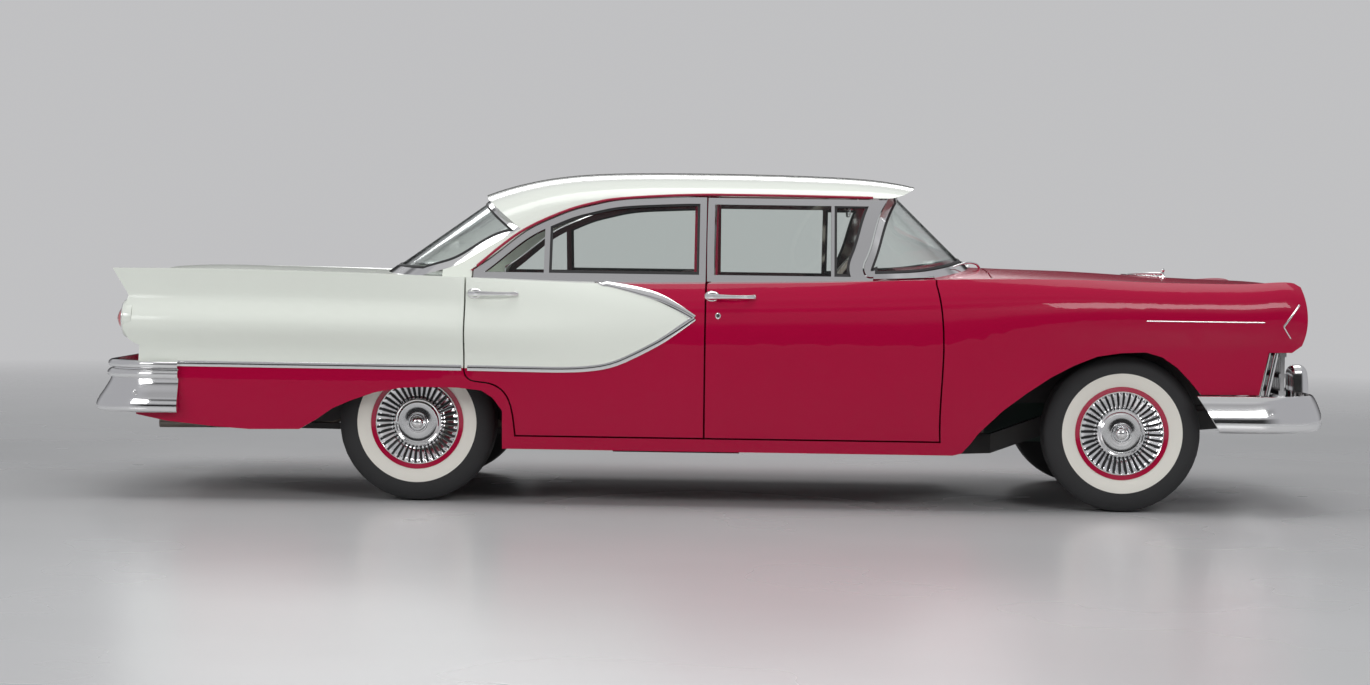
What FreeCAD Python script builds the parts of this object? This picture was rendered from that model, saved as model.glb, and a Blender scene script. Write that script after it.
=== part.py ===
import FreeCAD, Part
import math
import os

os.makedirs("parts", exist_ok=True)

V = FreeCAD.Vector

# Driving dimensions, in millimetres
LENGTH = 5276.0
WIDTH = 1956.0
HEIGHT = 1430.0
WHEELBASE = 2997.0
FRONT_OVERHANG = 876.0
FRONT_TRACK = 1499.0
REAR_TRACK = 1433.0
TYRE_RADIUS = 336.0
TYRE_WIDTH = 190.0
RIM_RADIUS = 198.0
BODY_LOW = 200.0
SILL_LOW = 238.0
DOOR_LOW = 298.0
SKIN = 28.0
ROOF_WALL = 38.0
GAP = 7.0
RUN = 3000.0

# Places along the car, each measured from an axle
HALF_LENGTH = LENGTH / 2
HALF_WIDTH = WIDTH / 2
FRONT_AXLE = HALF_LENGTH - FRONT_OVERHANG
REAR_AXLE = FRONT_AXLE - WHEELBASE
FRONT_HINGE_BACK = 762.0
FRONT_DOOR_REACH = 1012.0
REAR_DOOR_REACH = 1008.0
HINGE_INSET = -2.0
HOOD_REAR_BACK = 547.0
HINGE_Y = HALF_WIDTH - HINGE_INSET
FRONT_HINGE = FRONT_AXLE - FRONT_HINGE_BACK
REAR_HINGE = FRONT_HINGE - FRONT_DOOR_REACH
HOOD_REAR = FRONT_AXLE - HOOD_REAR_BACK

# The window plane leans in as it rises from the belt
BELT = 955.0
BELT_HALF = 800.0
LEAN_SHARE = 0.375
DRIP = 1320.0

# Body side: levels up the side, and how far each lies inside the plan outline
LEVEL_SHARES = (0, 0.15, 0.30, 0.42, 0.52, 0.59, 0.66, 0.726, 0.79, 0.848, 0.90, 0.95, 1)
TAIL_INSET_SHARES = (0.070, 0.054, 0.044, 0.041, 0.044, 0.034, 0.010, 0.006, 0.026, 0.045, 0.043, 0.036, 0.029)
DOOR_INSET_SHARES = (0.060, 0.036, 0.018, 0.008, 0.003, 0.001, 0, 0.001, 0.006, 0.015, 0.029, 0.048, 0.075)
NOSE_INSET_SHARES = (0.070, 0.062, 0.056, 0.052, 0.048, 0.043, 0.036, 0.022, 0.014, 0.016, 0.026, 0.050, 0.100)
TAIL_BLEND_SHARES = (-0.05, -0.62)
NOSE_BLEND_SHARES = (0.36, 0.74)

# Long lines of the body: along as a share of half the length, up as a share of the height
CREST_SHARES = ((-0.99, 0.685), (-0.815, 0.687), (-0.607, 0.683), (-0.379, 0.671), (-0.19, 0.659), (0, 0.662),
                (0.19, 0.670), (0.379, 0.684), (0.569, 0.689), (0.758, 0.682), (0.872, 0.684), (0.925, 0.689),
                (0.96, 0.665))
CENTRE_SHARES = ((-0.99, 0.672), (-0.88, 0.692), (-0.78, 0.692), (-0.62, 0.688), (-0.54, 0.683), (-0.30, 0.678),
                 (0.30, 0.705), (0.41, 0.722), (0.46, 0.716), (0.61, 0.709), (0.73, 0.698), (0.834, 0.690),
                 (0.937, 0.682), (0.96, 0.664))
PLAN_SHARES = ((-0.99, 0.950), (-0.93, 0.968), (-0.80, 0.988), (-0.55, 1), (0.40, 1), (0.60, 0.997),
               (0.80, 0.982), (0.90, 0.964), (0.96, 0.942))
GUTTER_SHARES = ((-0.99, 0.030), (-0.75, 0.024), (-0.57, 0.010), (-0.38, 0), (0, -0.005), (0.38, 0), (0.6, 0.008),
                 (0.96, 0.010))
TOP_SHARES = (1, 0.97, 0.93, 0.89, 0.84, 0.72, 0.55, 0.36, 0.18, 0)
STATION_SHARES = (-0.97, -0.92, -0.85, -0.76, -0.65, -0.53, -0.41, -0.30, -0.16, 0.03, 0.22, 0.38, 0.50, 0.61,
                  0.72, 0.81, 0.88, 0.92, 0.96)
SHOULDER_SHARE = 0.84
SHOULDER_POWER_SHARE = 1.6
CROWN_POWER_SHARE = 2.2

# Side outlines of the two ends and the wheel openings
NOSE_SHARES = ((0.925, 0.70), (0.9477, 0.676), (0.9534, 0.629), (0.9534, 0.538), (0.948, 0.5035), (0.9325, 0.4825),
               (0.8946, 0.4825), (0.8813, 0.3566), (0.87, 0.10))
TAIL_SHARES = ((-0.9553, 0.70), (-0.9553, 0.684), (-0.9306, 0.605), (-0.938, 0.552), (-0.9363, 0.5035),
               (-0.9287, 0.4755), (-0.9212, 0.465), (-0.9117, 0.458), (-0.9136, 0.409), (-0.917, 0.252),
               (-0.868, 0.234), (-0.792, 0.220), (-0.7335, 0.213), (-0.652, 0.2155), (-0.60, 0.2155))
FRONT_ARCH_REACH = 722.0
FRONT_ARCH_TOP = 685.0
FRONT_ARCH_SHARES = ((-1.0, -0.5), (-1.0, 0), (-0.95, 0.02), (-0.90, 0.11), (-0.855, 0.21), (-0.716, 0.43),
                     (-0.578, 0.60), (-0.44, 0.75), (-0.307, 0.865), (-0.17, 0.955), (-0.03, 0.99), (0.11, 1),
                     (0.21, 0.955), (0.30, 0.855), (0.37, 0.74), (0.44, 0.607), (0.80, 0.607), (0.80, -0.5))
REAR_ARCH_REACH = 485.0
REAR_ARCH_TOP = 495.0
REAR_ARCH_SHARES = ((-1.15, -0.5), (-1.15, 0.20), (-1, 0.275), (-0.845, 0.45), (-0.711, 0.627), (-0.546, 0.765),
                    (-0.34, 0.90), (-0.113, 0.98), (0.05, 1), (0.38, 1), (0.59, 0.96), (0.69, 0.84),
                    (0.773, 0.63), (0.773, -0.5))


# Curves and solids that every piece shares
def smooth(low, high, x):
    """A step from 0 to 1 with level ends."""
    share = min(1.0, max(0.0, (x - low) / (high - low)))
    return share * share * (3 - 2 * share)


def follow(table, x):
    """The value at x of a smooth line through a table of pairs."""
    if x <= table[0][0]:
        return table[0][1]
    if x >= table[-1][0]:
        return table[-1][1]
    last = len(table) - 1
    i = max(k for k in range(last) if table[k][0] <= x)

    def slope(k):
        low, high = table[max(k - 1, 0)], table[min(k + 1, last)]
        return (high[1] - low[1]) / (high[0] - low[0])

    (xa, va), (xb, vb) = table[i], table[i + 1]
    span = xb - xa
    s = (x - xa) / span
    start = (2 * s**3 - 3 * s**2 + 1) * va + (s**3 - 2 * s**2 + s) * span * slope(i)
    return start + (3 * s**2 - 2 * s**3) * vb + (s**3 - s**2) * span * slope(i + 1)


def curve(points):
    """A spline through the points, spaced evenly along its parameter."""
    last = len(points) - 1
    spline = Part.BSplineCurve()
    spline.interpolate(Points=points, Parameters=[i / last for i in range(last + 1)])
    return spline.toShape()


def outline(runs):
    """A closed wire of runs of points: a run of two is a line, a longer one a spline."""
    edges = []
    for run in runs:
        if len(run) == 2:
            edges.append(Part.makeLine(*run))
        else:
            spline = Part.BSplineCurve()
            spline.interpolate(run)
            edges.append(spline.toShape())
    if edges[-1].lastVertex().Point.distanceToPoint(edges[0].firstVertex().Point) > 0:
        edges.append(Part.makeLine(runs[-1][-1], runs[0][0]))
    return Part.Wire(edges)


def loop(points):
    """The straight runs that close a ring of points."""
    return [[a, b] for a, b in zip(points, points[1:] + points[:1])]


def side_runs(runs):
    return [[V(x, 0, z) for x, z in run] for run in runs]


def side_prism(runs, near=-RUN, far=RUN):
    """A side outline of (x, z) runs, extruded from y near to y far."""
    face = Part.Face(outline(side_runs(runs)))
    face.translate(V(0, near, 0))
    return face.extrude(V(0, far - near, 0))


def plan_prism(runs, low=-RUN, high=RUN):
    """A plan outline of (x, y) runs, extruded from z low to z high."""
    face = Part.Face(outline([[V(x, y, low) for x, y in run] for run in runs]))
    return face.extrude(V(0, 0, high - low))


def end_prism(runs, back=-RUN, front=RUN):
    """An end outline of (y, z) runs, extruded from x back to x front."""
    face = Part.Face(outline([[V(back, y, z) for y, z in run] for run in runs]))
    return face.extrude(V(front - back, 0, 0))


def box(xs, ys, zs):
    return Part.makeBox(xs[1] - xs[0], ys[1] - ys[0], zs[1] - zs[0], V(xs[0], ys[0], zs[0]))


def rod(start, end, radius):
    return Part.makeCylinder(radius, (end - start).Length, start, end - start)


def mirrored(shape):
    return shape.mirror(V(0, 0, 0), V(0, 1, 0))


def both(shape):
    return Part.makeCompound(shape.Solids + mirrored(shape).Solids)


def largest(shape):
    return max(shape.Solids, key=lambda solid: solid.Volume)


def placed(shares):
    return [(x * HALF_LENGTH, z * HEIGHT) for x, z in shares]


def beside(points, distance):
    """The points of an open line moved to its left by a distance."""
    moved = []
    last = len(points) - 1
    for i, (x, z) in enumerate(points):
        before, after = points[max(i - 1, 0)], points[min(i + 1, last)]
        dx, dz = after[0] - before[0], after[1] - before[1]
        reach = math.hypot(dx, dz)
        moved.append((x - distance * dz / reach, z + distance * dx / reach))
    return moved


def turned(profile, x, y):
    """A solid of revolution about the upright axis at x, y of a closed profile of (radius, z) runs."""
    face = Part.Face(outline([[V(x + r, y, z) for r, z in run] for run in profile]))
    return face.revolve(V(x, y, 0), V(0, 0, 1), 360)


def wheel_turned(profile, x, y, z, outward):
    """A solid of revolution about the wheel axis of a closed profile of (radius, place outward) points."""
    wire = Part.makePolygon([V(x + r, y + outward * w, z) for r, w in profile + profile[:1]])
    return Part.Face(wire).revolve(V(x, y, z), V(0, 1, 0), 360)


def export(name, shape):
    shape.exportStep("parts/" + name + ".step")


# The body's outer form
def side_inset(x_share, level):
    tail = smooth(*TAIL_BLEND_SHARES, x_share) if x_share < TAIL_BLEND_SHARES[0] else 0
    nose = smooth(*NOSE_BLEND_SHARES, x_share)
    middle = 1 - tail - nose
    return (TAIL_INSET_SHARES[level] * tail + DOOR_INSET_SHARES[level] * middle
            + NOSE_INSET_SHARES[level] * nose)


def body_section(x_share, wall):
    """The closed cross-section of the body at a station, a wall's thickness inside the outer surface."""
    x = x_share * HALF_LENGTH
    plan = follow(PLAN_SHARES, x_share) * HALF_WIDTH
    low = BODY_LOW - wall
    crest = follow(CREST_SHARES, x_share) * HEIGHT - wall
    centre = follow(CENTRE_SHARES, x_share) * HEIGHT - wall
    side = []
    for level, share in enumerate(LEVEL_SHARES):
        half = plan * (1 - side_inset(x_share, level)) - wall
        side.append((half, low + share * (crest - low)))
    half = side[-1][0]
    edge = crest - follow(GUTTER_SHARES, x_share) * HEIGHT
    top = []
    for share in TOP_SHARES:
        if share >= SHOULDER_SHARE:
            rise = ((share - SHOULDER_SHARE) / (1 - SHOULDER_SHARE)) ** SHOULDER_POWER_SHARE
            top.append((half * share, edge + (crest - edge) * rise))
        else:
            fall = (share / SHOULDER_SHARE) ** CROWN_POWER_SHARE
            top.append((half * share, centre - (centre - edge) * fall))
    over = top + [(-y, z) for y, z in reversed(top[:-1])]
    left = curve([V(x, y, z) for y, z in side])
    cover = curve([V(x, y, z) for y, z in over])
    right = curve([V(x, -y, z) for y, z in reversed(side)])
    base = Part.makeLine(V(x, -side[0][0], side[0][1]), V(x, side[0][0], side[0][1]))
    return Part.Wire([left, cover, right, base])


def body_form(wall):
    return Part.makeLoft([body_section(share, wall) for share in STATION_SHARES], True, False)


def ahead_of(points):
    """The region in front of an open line of (x, z) points that runs downwards."""
    top, bottom = points[0], points[-1]
    return side_prism([points[:2], points[1:5], points[4:6]] + [points[i:i + 2] for i in range(5, len(points) - 1)]
                      + [[bottom, (RUN, bottom[1])], [(RUN, bottom[1]), (RUN, top[1])], [(RUN, top[1]), top]])


def behind(points):
    """The region behind an open line of (x, z) points that runs downwards."""
    top, bottom = points[0], points[-1]
    runs = [points[i:i + 2] for i in range(len(points) - 1)]
    return side_prism(runs + [[bottom, (bottom[0], 0)], [(bottom[0], 0), (-RUN, 0)], [(-RUN, 0), (-RUN, top[1])],
                              [(-RUN, top[1]), top]])


def window_y(z):
    """How far out the window plane is at a height."""
    return BELT_HALF - LEAN_SHARE * (z - BELT)


def arch(shares, axle, reach, top):
    low = SILL_LOW
    return [(axle + x * reach, low + z * (top - low)) for x, z in shares]


# Door edges are turned about the hinge line, so that the gap stays even as the door swings
FRONT_EDGE_SHARES = ((0.955, 1.10), (0.955, 1), (0.975, 0.90), (0.990, 0.75), (0.995, 0.60), (0.990, 0.40), (0.985, 0))
DOGLEG_BACK_SHARES = ((0.785, 0.02), (0.800, 0.17), (0.828, 0.27), (0.895, 0.335), (0.985, 0.365), (1, 0.42))
DRIP_LINE_SHARES = ((0.980, 0.10), (0.880, 0.30), (0.737, 0.60), (0.650, 0.715), (0.565, 0.81), (0.485, 0.87),
                    (0.395, 0.925), (0.225, 0.965), (0.02, 0.985))


def swing_radius(reach, z):
    """How far from the hinge line a place on the window plane is, at a reach behind that line."""
    return math.hypot(reach, HINGE_Y - window_y(z))


def front_door_swing(grow):
    """Everything inside the front door's rear edge, as the door swings."""
    lower = FRONT_DOOR_REACH - GAP + grow
    low, top = DOOR_LOW - grow, DRIP - GAP + grow
    foot = swing_radius(lower, BELT)
    head = swing_radius(lower, top)
    points = [(0, low), (lower, low), (lower, BELT - grow), (foot, BELT - grow), (head, top), (0, top)]
    return turned([[points[i], points[(i + 1) % 6]] for i in range(6)], FRONT_HINGE, HINGE_Y)


def rear_door_swing(grow):
    """Everything inside the rear door's rear and upper edges, as the door swings."""
    reach = REAR_DOOR_REACH + grow
    low = DOOR_LOW - grow
    rise = BELT - DOOR_LOW
    leg = [(x * REAR_DOOR_REACH, DOOR_LOW + z * rise) for x, z in DOGLEG_BACK_SHARES]
    if grow:
        leg = beside(leg, -grow)
    leg = [(leg[0][0], low)] + leg[1:-1] + [(reach, leg[-1][1])]
    over = [(x * REAR_DOOR_REACH, BELT + z * (DRIP - BELT)) for x, z in DRIP_LINE_SHARES]
    rail = [(swing_radius(x, z), z) for x, z in over]
    if grow:
        rail = beside(rail, -grow)
    rail = [(reach, BELT), (reach, rail[0][1])] + rail[1:]
    top = rail[-1]
    runs = [[(0, low), leg[0]], leg, [leg[-1], rail[0]], rail[:2], rail[1:], [top, (0, top[1])],
            [(0, top[1]), (0, low)]]
    return turned(runs, REAR_HINGE, HINGE_Y)


def edge_line(forward):
    """The front door's front edge, moved forward by a distance."""
    rise = BELT - DOOR_LOW
    return [(FRONT_HINGE - (1 - x) * FRONT_HINGE_BACK - GAP + forward, DOOR_LOW + z * rise)
            for x, z in FRONT_EDGE_SHARES]


def before_front_edge(forward):
    """The region in front of the front door's front edge."""
    points = edge_line(forward)
    top, bottom = points[0], points[-1]
    return side_prism([points[:2], points[1:], [bottom, (bottom[0], -RUN)], [(bottom[0], -RUN), (RUN, -RUN)],
                       [(RUN, -RUN), (RUN, top[1])], [(RUN, top[1]), top]])


# The master solids that the panels are cut from
nose = placed(NOSE_SHARES)
tail = placed(TAIL_SHARES)
REAR_FACE = -2400.0
FIN_FOOT = 750.0
OUTER = body_form(0).cut(ahead_of(nose)).cut(behind(tail))
OUTER = OUTER.cut(box((-RUN, REAR_FACE), (-FIN_FOOT, FIN_FOOT), (0, RUN)))
INNER = body_form(SKIN).cut(ahead_of(beside(nose, -SKIN)))
INNER = INNER.cut(box((-RUN, REAR_FACE + SKIN), (-RUN, RUN), (-RUN, RUN)))
SHELL = OUTER.cut(INNER)
FRONT_ARCH = side_prism([[a, b] for a, b in zip(*[arch(FRONT_ARCH_SHARES, FRONT_AXLE, FRONT_ARCH_REACH,
                                                       FRONT_ARCH_TOP)[i:] for i in (0, 1)])])
REAR_ARCH = side_prism([[a, b] for a, b in zip(*[arch(REAR_ARCH_SHARES, REAR_AXLE, REAR_ARCH_REACH,
                                                      REAR_ARCH_TOP)[i:] for i in (0, 1)])])

# Hood and trunk lid outlines in plan
HOOD_HALF_REAR = 700.0
HOOD_HALF_FRONT = 640.0
HOOD_LIP = 868.0
HOOD_HINGE = 2505.0
HOOD_HINGE_Z = 962.0
LID_HALF = 655.0
LID_FRONT = -1480.0
LID_LIP = 620.0
LID_HINGE_Z = 984.0
INNER_LOW = 835.0
INNER_BELT = 775.0
FRAME_DEPTH = 30.0
FRAME_BAR = 28.0
GLASS = 6.0


def hood_region(grow):
    rear, front = HOOD_REAR - grow, RUN
    slope = (HOOD_HALF_FRONT - HOOD_HALF_REAR) / (HALF_LENGTH - HOOD_REAR)
    half_rear, half_front = HOOD_HALF_REAR + grow, HOOD_HALF_REAR + grow + slope * (RUN - HOOD_REAR)
    corners = [(rear, -half_rear), (front, -half_front), (front, half_front), (rear, half_rear)]
    return plan_prism([[corners[i], corners[(i + 1) % 4]] for i in range(4)], HOOD_LIP - grow, RUN)


def lid_region(grow):
    return box((-RUN, LID_FRONT + grow), (-LID_HALF - grow, LID_HALF + grow), (LID_LIP - grow, RUN))


def inner_side(inward=0):
    """Everything inboard of the doors' inner faces."""
    low, high = INNER_LOW - inward, INNER_BELT - inward
    return end_prism([[(-RUN, 0), (low, 0)], [(low, 0), (low, DOOR_LOW)], [(low, DOOR_LOW), (high, BELT)],
                      [(high, BELT), (high, RUN)], [(high, RUN), (-RUN, RUN)], [(-RUN, RUN), (-RUN, 0)]])


def window_slab(outer, inner):
    """A slab along the window plane, between two depths inside it."""
    low, high = BELT - SKIN, DRIP + SKIN
    corners = [(window_y(low) - outer, low), (window_y(high) - outer, high), (window_y(high) - inner, high),
               (window_y(low) - inner, low)]
    return end_prism([[corners[i], corners[(i + 1) % 4]] for i in range(4)])


# The greenhouse's outer form
ROOF_STATION_SHARES = (-0.43, -0.379, -0.32, -0.265, -0.19, -0.10, 0.05, 0.20, 0.29, 0.338)
ROOF_CENTRE_SHARES = ((-0.43, 0.870), (-0.379, 0.925), (-0.307, 0.966), (-0.236, 0.988), (-0.168, 0.997), (-0.10, 1),
                      (0.105, 1), (0.199, 0.995), (0.274, 0.985), (0.322, 0.977), (0.338, 0.966))
SHOULDER_SHARES = ((-0.43, 0.700), (-0.379, 0.783), (-0.32, 0.839), (-0.265, 0.881), (-0.19, 0.909), (-0.11, 0.923),
                   (0.338, 0.923))
ROOF_ARC_SHARES = ((1, 0), (0.975, 0.22), (0.92, 0.46), (0.80, 0.72), (0.60, 0.885), (0.35, 0.97))


def roof_section(x_share, wall):
    x = x_share * HALF_LENGTH
    low = BELT - 2 * SKIN
    shoulder = follow(SHOULDER_SHARES, x_share) * HEIGHT - wall / 2
    centre = follow(ROOF_CENTRE_SHARES, x_share) * HEIGHT - wall
    foot, side = window_y(low) - wall, window_y(shoulder) - wall
    arc = [(side * y, shoulder + z * (centre - shoulder)) for y, z in ROOF_ARC_SHARES]
    over = arc + [(0, centre)] + [(-y, z) for y, z in reversed(arc)]
    edges = [Part.makeLine(V(x, foot, low), V(x, side, shoulder)), curve([V(x, y, z) for y, z in over]),
             Part.makeLine(V(x, -side, shoulder), V(x, -foot, low)), Part.makeLine(V(x, -foot, low), V(x, foot, low))]
    return Part.Wire(edges)


def roof_form(wall):
    return Part.makeLoft([roof_section(share, wall) for share in ROOF_STATION_SHARES], True, False)


# Side lines of the pillars, as shares of half the length and of the height
VISOR_SHARES = ((0.3375, 0.96), (0.3035, 0.9265), (0.292, 0.923))
PILLAR_SHARES = ((0.294, 0.923), (0.276, 0.86), (0.2577, 0.748), (0.2513, 0.713), (0.2545, 0.694), (0.266, 0.6888))
SAIL_SHARES = ((-0.380, 0.95), (-0.380, 0.9285), (-0.307, 0.818), (-0.345, 0.776), (-0.379, 0.738),
               (-0.409, 0.706), (-0.440, 0.688), (-0.470, 0.670))


def sail_line(back):
    line = placed(SAIL_SHARES)
    return beside(line, -back) if back else line


def sail_region(back):
    """The region behind the roof's rear edge and the rear pillar."""
    line = sail_line(back)
    bottom, top = line[-1], line[0]
    return side_prism([line[:2], line[1:3], line[2:], [bottom, (bottom[0], 0)], [(bottom[0], 0), (-RUN, 0)],
                       [(-RUN, 0), (-RUN, top[1])], [(-RUN, top[1]), top]])


def pillar_line(ahead):
    line = placed(PILLAR_SHARES)
    return beside(line, ahead) if ahead else line


def pillar_region(ahead):
    """The region ahead of the windshield pillar's rear edge."""
    line = pillar_line(ahead)
    top, bottom = line[0], line[-1]
    foot = BELT - 2 * SKIN
    return side_prism([line, [bottom, (bottom[0], foot)], [(bottom[0], foot), (RUN, foot)], [(RUN, foot), (RUN, RUN)],
                       [(RUN, RUN), (top[0], RUN)], [(top[0], RUN), top]])


# Wrap-round glass: a level section is a U with a superelliptic end
BEND_POWER_SHARE = 2.3
BEND_STEPS = 12
SHIELD_FOOT, SHIELD_HEAD = 1228.0, 790.0
SHIELD_BEND_FOOT, SHIELD_BEND_HEAD = 740.0, 560.0
LIGHT_FOOT, LIGHT_HEAD = -1474.0, -883.0
LIGHT_BEND_FOOT, LIGHT_BEND_HEAD = -1060.0, -520.0
GLASS_HEAD = 1380.0
LEG = 500.0


def wrap_wire(z, centre, bend, inset, wall, ahead):
    def run(depth):
        half = window_y(z) - inset - depth
        tip = centre - ahead * (inset + depth)
        points = []
        for i in range(-BEND_STEPS, BEND_STEPS + 1):
            turn = i / BEND_STEPS * math.pi / 2
            across = math.copysign(abs(math.sin(turn)) ** (2 / BEND_POWER_SHARE), turn)
            along = max(math.cos(turn), 0) ** (2 / BEND_POWER_SHARE)
            points.append(V(bend + (tip - bend) * along, half * across, z))
        return points

    outer, inner = run(0), run(wall)
    end = bend - ahead * LEG
    a, b, c, d = (V(end, p.y, z) for p in (outer[0], outer[-1], inner[-1], inner[0]))
    return Part.Wire([Part.makeLine(a, outer[0]), curve(outer), Part.makeLine(outer[-1], b), Part.makeLine(b, c),
                      Part.makeLine(c, inner[-1]), curve(inner[::-1]), Part.makeLine(inner[0], d),
                      Part.makeLine(d, a)])


def wrap_shell(foot, head, bend_foot, bend_head, inset, wall, ahead):
    levels = []
    for z in (BELT - SKIN, GLASS_HEAD + SKIN):
        share = (z - BELT) / (GLASS_HEAD - BELT)
        levels.append(wrap_wire(z, foot + share * (head - foot), bend_foot + share * (bend_head - bend_foot),
                                inset, wall, ahead))
    return Part.makeLoft(levels, True, True)


# The rear plate's four bolt holes
PLATE_Z = 760.0
PLATE_WIDE = 178.0
PLATE_TALL = 121.0
PLATE_HOLE = 3.5


def plate_holes():
    holes = [rod(V(-RUN, y, PLATE_Z + z), V(REAR_FACE + 2 * SKIN, y, PLATE_Z + z), PLATE_HOLE)
             for y in (-PLATE_WIDE / 2, PLATE_WIDE / 2) for z in (-PLATE_TALL / 2, PLATE_TALL / 2)]
    return Part.makeCompound(holes)


def pieces():
    """Every sub-part by its node's name."""
    made = {}
    left = box((-RUN, RUN), (0, RUN), (-RUN, RUN))
    front_swing, rear_swing = front_door_swing(0), rear_door_swing(0)
    front_clear, rear_clear = front_door_swing(GAP), rear_door_swing(GAP)
    inboard = inner_side()

    # Doors
    front_door = OUTER.common(front_swing).cut(before_front_edge(0)).cut(inboard)
    rear_edge = box((REAR_HINGE, RUN), (-RUN, RUN), (-RUN, RUN))
    rear_door = OUTER.common(rear_swing).cut(rear_edge).cut(inboard)
    made["door_front_left"] = largest(front_door)
    made["door_rear_left"] = largest(rear_door)

    slab = window_slab(0, FRAME_DEPTH)
    pane = window_slab(FRAME_DEPTH / 2 - GLASS / 2, FRAME_DEPTH / 2 + GLASS / 2)
    bar = 2 * FRAME_BAR
    sill = BELT + FRAME_BAR
    edge = REAR_HINGE + GAP
    vent = FRONT_HINGE - 478.0
    above = box((-RUN, RUN), (-RUN, RUN), (sill, RUN))
    front_open = front_door_swing(-FRAME_BAR).common(above).common(box((edge + FRAME_BAR, RUN), (-RUN, RUN), (0, RUN)))
    front_open = front_open.cut(pillar_region(-GAP - bar)).cut(box((vent, vent + FRAME_BAR / 2), (-RUN, RUN), (0, RUN)))
    ahead_of_pillar = pillar_region(-GAP)
    front_frame = slab.common(front_swing).cut(ahead_of_pillar).cut(OUTER).cut(front_open)
    rear_bar = REAR_HINGE - 668.0
    rear_open = rear_door_swing(-FRAME_BAR).common(above).common(box((-RUN, REAR_HINGE - FRAME_BAR), (-RUN, RUN), (0, RUN)))
    rear_open = rear_open.cut(box((rear_bar - FRAME_BAR * 0.8, rear_bar), (-RUN, RUN), (0, RUN)))
    rear_frame = slab.common(rear_swing).cut(rear_edge).cut(OUTER).cut(rear_open)
    made["door_front_left_frame"] = largest(front_frame)
    made["door_rear_left_frame"] = largest(rear_frame)
    made["door_front_left_glass"] = pane.common(front_open).cut(OUTER)
    made["door_rear_left_glass"] = pane.common(rear_open).cut(OUTER)

    # Roof with the rear pillars
    greenhouse = roof_form(0)
    roof = greenhouse.cut(roof_form(ROOF_WALL)).cut(OUTER)
    visor = placed(VISOR_SHARES)
    under = side_prism([visor, [visor[-1], (visor[-1][0], 0)], [(visor[-1][0], 0), (RUN, 0)],
                        [(RUN, 0), (RUN, visor[0][1])], [(RUN, visor[0][1]), visor[0]]])
    roof = roof.cut(under).cut(sail_region(0))
    roof = roof.cut(front_clear).cut(mirrored(front_clear)).cut(rear_clear).cut(mirrored(rear_clear))
    made["roof"] = largest(roof)
    roof = made["roof"]

    # Windshield and rear window in their bright frames
    lifted = OUTER.translated(V(0, 0, FRAME_BAR))
    cleared = OUTER.translated(V(0, 0, GAP)).common(box((-RUN, edge_line(GAP)[0][0]), (-RUN, RUN), (-RUN, RUN)))
    shield_sizes = (SHIELD_FOOT, SHIELD_HEAD, SHIELD_BEND_FOOT, SHIELD_BEND_HEAD)
    light_sizes = (LIGHT_FOOT, LIGHT_HEAD, LIGHT_BEND_FOOT, LIGHT_BEND_HEAD)
    over_roof = box((-RUN, RUN), (-RUN, RUN), (visor[0][1] + SKIN, RUN))
    shield_head = box((-RUN, RUN), (-RUN, RUN), (DRIP + SKIN / 2, RUN))
    light_head = box((-RUN, RUN), (-RUN, RUN), (DRIP - SKIN, RUN))

    def glazed(sizes, inset, wall, ahead, region, head):
        pane = wrap_shell(*sizes, inset, wall, ahead).common(region)
        return pane.cut(lifted).cut(head)

    shield = wrap_shell(*shield_sizes, 0, FRAME_DEPTH, 1).common(pillar_region(0)).cut(OUTER).cut(roof)
    shield = shield.cut(cleared).cut(over_roof)
    opening = glazed(shield_sizes, 0, FRAME_DEPTH, 1, pillar_region(FRAME_BAR), shield_head)
    made["windshield_frame"] = largest(shield.cut(opening))
    made["windshield"] = largest(glazed(shield_sizes, FRAME_DEPTH / 3, GLASS, 1, pillar_region(FRAME_BAR), shield_head))
    light = wrap_shell(*light_sizes, 0, FRAME_DEPTH, -1).common(sail_region(0)).cut(OUTER).cut(roof)
    opening = glazed(light_sizes, 0, FRAME_DEPTH, -1, sail_region(FRAME_BAR), light_head)
    made["rear_window_frame"] = largest(light.cut(opening))
    made["rear_window"] = largest(glazed(light_sizes, FRAME_DEPTH / 3, GLASS, -1, sail_region(FRAME_BAR), light_head))

    # Hood, trunk lid and the fixed panels
    made["hood"] = largest(SHELL.common(hood_region(0)))
    made["trunk_lid"] = largest(SHELL.common(lid_region(0)).cut(plate_holes()))
    return made


# Lamps, and the sizes that the lower body shares
HEADLAMP_Y = 782.0
HEADLAMP_Z = 832.0
HEADLAMP_RADIUS = 104.0
HEADLAMP_DEEP = 60.0
HEADLAMP_LENS = 89.0
HEADLAMP_FACE = NOSE_SHARES[2][0] * HALF_LENGTH
TAIL_LAMP_Y = 862.0
TAIL_LAMP_Z = 765.0
TAIL_LAMP_RADIUS = 82.0
TAIL_LAMP_DEEP = 40.0
TAIL_LAMP_FACE = TAIL_SHARES[3][0] * HALF_LENGTH
GRILLE_HALF = 610.0
GRILLE_TOP = 800.0
POD_LOW = NOSE_SHARES[5][1] * HEIGHT
BUMPER_TOP = 505.0
FLOOR_TOP = 320.0
FLOOR_WALL = 20.0
FLOOR_UNDER = FLOOR_TOP - FLOOR_WALL
SEAT_STEP = 450.0
AXLE_HUMP = 520.0
TRUNK_FLOOR = 440.0
TUNNEL_RADIUS = 150.0
FIREWALL = HOOD_REAR - 105.0
TOE_TOP = 470.0
ROCKER_IN = 740.0
ROCKER_LIP = 60.0
ROCKER_TOP = DOOR_LOW - GAP
ROCKER_REAR = REAR_HINGE - DOGLEG_BACK_SHARES[0][0] * REAR_DOOR_REACH
WHEELHOUSE_SHARES = ((-1.18, -0.10), (-1.08, 0.40), (-0.70, 0.86), (0, 1.0), (0.62, 0.88), (0.98, 0.42), (1.03, -0.10))
WHEELHOUSE_SIZE = 395.0
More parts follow.
